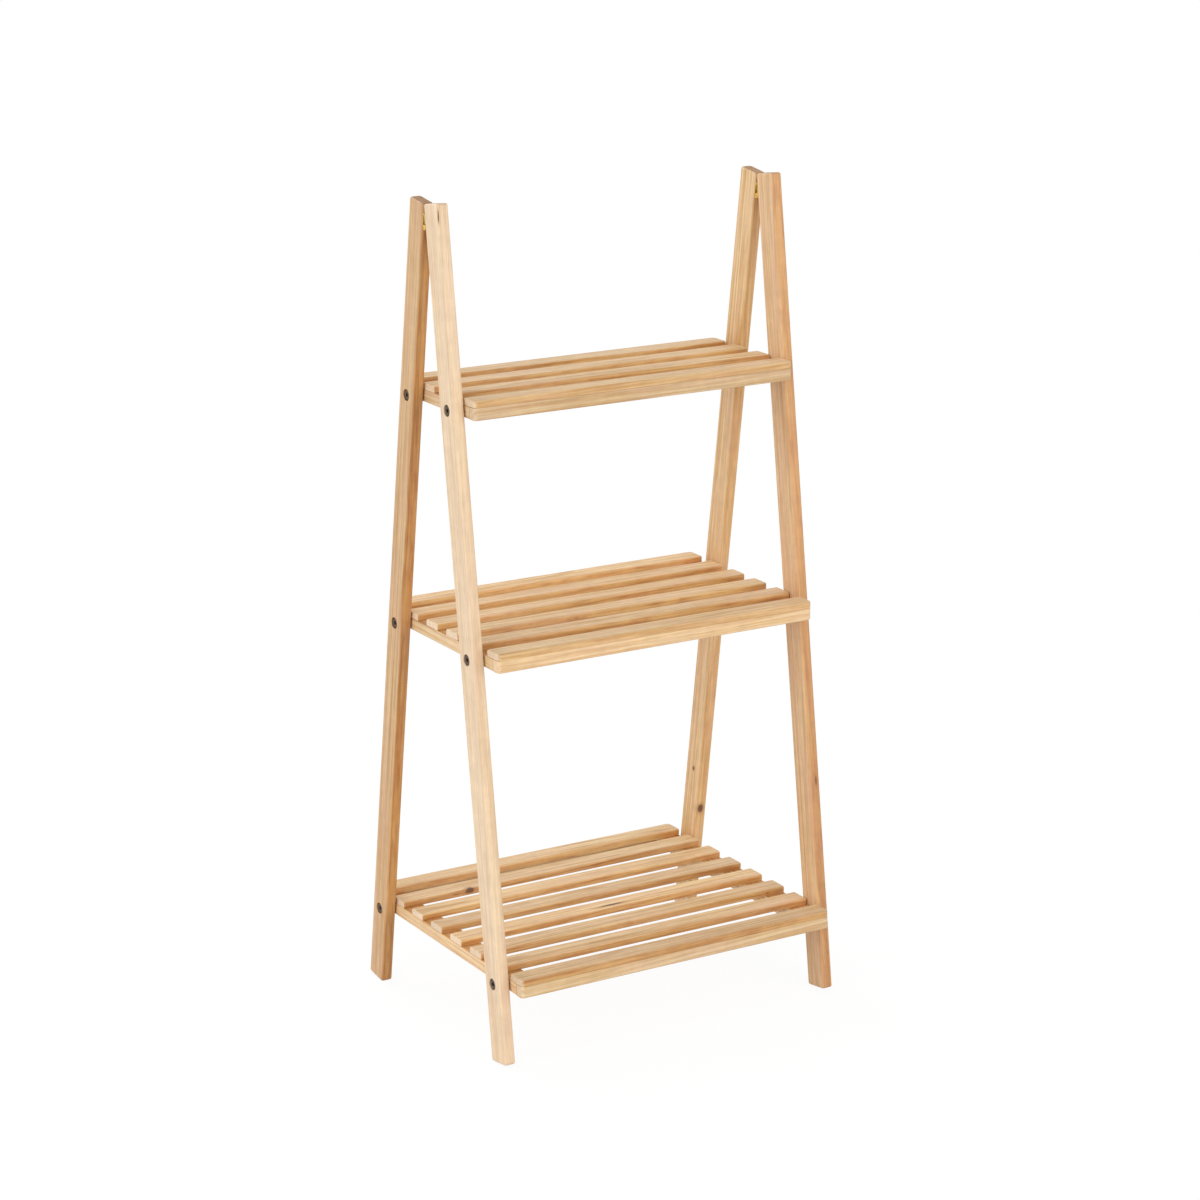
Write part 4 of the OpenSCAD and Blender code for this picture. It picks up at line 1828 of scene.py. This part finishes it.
@dataclass(frozen=True)
class Studio:
    """A white floor and backdrop, three large soft boxes and a pale surround.

    Attributes:
        lamps: The soft boxes.
        floor_r: Radius of the floor, in metres.
        shadow_share: Share of the floor's white that a shadow can take away.
        fading: The share of the floor's radius over which it fades to plain white.
        white: Colour of the backdrop.
        white_strength: Strength of the fading floor, a hair over white so that it doesn't
            show against the backdrop.
        paper: The floor's colour, as the wood sees it.
        sky: The surround's colour, as the wood sees it.
        fill: Its strength.
    """

    lamps: tuple[SoftBox, ...] = (
        SoftBox("left_softbox", (-3.2, -0.9, 1.4), 3.0, 53.0, "#FFFDFA"),
        SoftBox("front_softbox", (0.7, -3.2, 1.4), 2.4, 51.0, "#FFF8EE"),
        SoftBox("rear_softbox", (-0.8, 2.6, 2.6), 2.4, 52.0, "#FFFFFF"))
    floor_r: float = 1.3
    shadow_share: float = 0.08
    fading: Point = (0.45, 0.95)
    white: str = "#FFFFFF"
    white_strength: float = 1.01
    paper: str = "#E6E6E6"
    sky: str = "#F6FAFF"
    fill: float = 0.6

    def build(self) -> None:
        """Build the floor, the surround and the lamps."""
        self.floor()
        self.surround()
        for lamp in self.lamps:
            lamp.build()

    def floor(self) -> None:
        """Build a round floor that fades to plain white at its rim."""
        bm = bmesh.new()
        bmesh.ops.create_circle(bm, cap_ends=True, radius=self.floor_r, segments=96)
        mesh = bpy.data.meshes.new("floor")
        bm.to_mesh(mesh)
        bm.free()
        floor = bpy.data.objects.new("floor", mesh)
        bpy.context.scene.collection.objects.link(floor)
        material, tree = new_tree("paper_white_matt")
        mesh.materials.append(material)
        seen = self.seen(tree)
        place = add_node(tree, "NewGeometry").outputs["Position"]
        far = add_node(tree, "VectorMath", (place,), operation="LENGTH")
        start, stop = (share * self.floor_r for share in self.fading)
        fade = add_node(tree, "MapRange", (far, start, stop, 1 - self.shadow_share, 1.0),
                        interpolation_type="SMOOTHSTEP")
        paper = add_node(tree, "BsdfDiffuse", {"Color": self.paper})
        dim = add_node(tree, "BsdfDiffuse", {"Color": self.white})
        white = add_node(tree, "Emission", (self.white, self.white_strength))
        shown = add_node(tree, "MixShader", (fade, dim, white))
        mixed = add_node(tree, "MixShader", (seen, paper, shown))
        add_node(tree, "OutputMaterial", {"Surface": mixed})

    def surround(self) -> None:
        """Make the world white where it is seen or mirrored, and a soft fill elsewhere."""
        world = bpy.data.worlds.new("white_surround")
        bpy.context.scene.world = world
        world.use_nodes = True
        tree = world.node_tree
        tree.nodes.clear()
        plain = add_node(tree, "Background", (self.sky, self.fill))
        white = add_node(tree, "Background", (self.white, 1.0))
        mixed = add_node(tree, "MixShader", (self.seen(tree), plain, white))
        add_node(tree, "OutputWorld", {"Surface": mixed})

    @staticmethod
    def seen(tree: NodeTree) -> Node:
        """Add the test for rays that show the backdrop: seen, mirrored or refracted.

        Args:
            tree: The floor's or the surround's node tree.

        Returns:
            The node that is 1 for such a ray.
        """
        path = add_node(tree, "LightPath").outputs
        either = add_node(tree, "Math", (path["Is Camera Ray"], path["Is Glossy Ray"]),
                          operation="MAXIMUM")
        return add_node(tree, "Math", (either, path["Is Transmission Ray"]),
                        operation="MAXIMUM")


@dataclass(frozen=True)
class PhotoCamera:
    """The camera of the photograph, as its outlines give it.

    Attributes:
        azimuth: Where it stands, in degrees from straight in front.
        elevation: How far above the horizon it stands, in degrees.
        distance: Distance from the point that it faces, in mm.
        target: That point, in mm.
        lens: Focal length for the sensor width.
        sensor: Sensor width.
    """

    azimuth: float = -31.09
    elevation: float = 15.90
    distance: float = 3587.8
    target: tuple[float, float, float] = (0.4, 0.0, 448.6)
    lens: float = 98.46
    sensor: float = 36.0

    def build(self) -> None:
        """Make the camera the scene's own."""
        a, e = math.radians(self.azimuth), math.radians(self.elevation)
        back = Vector((math.sin(a) * math.cos(e), -math.cos(a) * math.cos(e), math.sin(e)))
        data = bpy.data.cameras.new("photo_camera")
        data.lens, data.sensor_width = self.lens, self.sensor
        place = (Vector(self.target) + self.distance * back) * MM
        bpy.context.scene.camera = aim(data, place, -back)


# ---------------------------------------------------------------- what the photograph shows

# edge_brown sets painted shade on a board's narrow edges, with some browner edge grain
LEG_CUTS = {
    "left_front_leg": Cut.drawn("left_front_leg", Sawn.QUARTER, tone=0.0, warmth=0.02,
                                paleness=0.4, edge_brown=0.2),
    "left_rear_leg": Cut.drawn("left_rear_leg", Sawn.QUARTER, tone=-0.06, warmth=0.24,
                               edge_brown=0.9),
    "right_front_leg": Cut.drawn("right_front_leg", Sawn.RIFT, ring=3.4, tone=0.06,
                                 warmth=0.24, paleness=0.1, edge_brown=1.0),
    "right_rear_leg": Cut.drawn("right_rear_leg", Sawn.QUARTER, tone=0.06, warmth=0.07,
                                edge_brown=0.4),
}
LEG_MARKS = {
    "left_front_leg": (Mark((442.0, -15.0, 5.9), (7.0, 1.2, 0.8)),),
    # The left rear leg's brown streaks are partly wood streaks, partly painted shade from the
    # front leg
    "left_rear_leg": (Mark((195.0, -15.0, 3.2), (80.0, 3.0, 2.1), 1.08),
                      Mark((122.0, -15.0, 4.6), (75.0, 3.0, 1.9), 1.05),
                      Mark((82.0, -15.0, 5.8), (22.0, 3.0, 1.1), 0.75)),
    "right_front_leg": (Mark((-217.0, -15.0, -1.6), (7.0, 6.0, 1.8), 0.25),
                        Mark((-250.0, -15.0, -2.0), (420.0, 3.5, 11.0), 1.15),
                        Mark((-405.0, -15.0, -2.4), (110.0, 5.0, 2.2), 0.93)),
    "right_rear_leg": (Mark((-316.0, -15.0, 1.4), (5.5, 9.0, 3.4)),
                       Mark((-269.0, -1.0, 6.5), (2.6, 1.8, 9.0))),
}
SHELF_CUTS = {
    "bottom_slat_1": Cut.drawn("bottom_slat_1", Sawn.PLAIN, tone=-0.1, warmth=0.08,
                               edge_brown=0.85),
}
SHELF_MARKS = {
    "top_slat_4": (Mark((-9.0, -12.5, 1.0), (9.0, 3.0, 2.4), 1.05),),
    "middle_slat_6": (Mark((-10.0, -12.5, 0.0), (16.0, 2.0, 2.2), 0.95),
                      Mark((114.0, -12.5, 1.5), (11.0, 2.0, 1.8), 1.0)),
    "middle_slat_3": (Mark((52.0, -12.5, 0.5), (12.0, 2.0, 2.2), 0.95),
                      Mark((-50.0, -12.5, -0.5), (11.0, 2.0, 1.6), 0.9)),
    "middle_slat_2": (Mark((-42.0, -12.5, -1.0), (40.0, 2.0, 1.6), 1.0),),
    "bottom_slat_7": (Mark((-112.0, -12.5, 1.4), (5.6, 5.0, 3.0)),
                      Mark((-128.0, -12.5, 0.0), (17.0, 3.0, 1.6), 0.7)),
    "bottom_slat_4": (Mark((-1.0, -4.9, 3.8), (15.0, 1.8, 3.0)),),
    "bottom_slat_3": (Mark((173.5, -12.5, -0.3), (5.0, 3.0, 2.4), 0.7),),
    "bottom_slat_1": (Mark((20.0, -9.0, 3.7), (120.0, 2.0, 1.5), 1.1),
                      Mark((110.0, -2.0, 3.7), (90.0, 1.4, 1.5), 1.15)),
}


def main() -> None:
    """Build the stand and its studio, piece by piece."""
    logging.basicConfig(level=logging.INFO, format="%(message)s")
    bpy.context.scene.view_settings.view_transform = "Standard"
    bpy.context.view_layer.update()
    finishes = Finishes()
    for side in Side:
        AFrame(side, finishes, cuts=LEG_CUTS, marks=LEG_MARKS).build()
        Hinge(side, finishes).build()
    for tier in TIERS:
        Shelf(tier, finishes, cuts=SHELF_CUTS, marks=SHELF_MARKS).build()
    Studio().build()
    PhotoCamera().build()


if __name__ == "__main__":
    main()
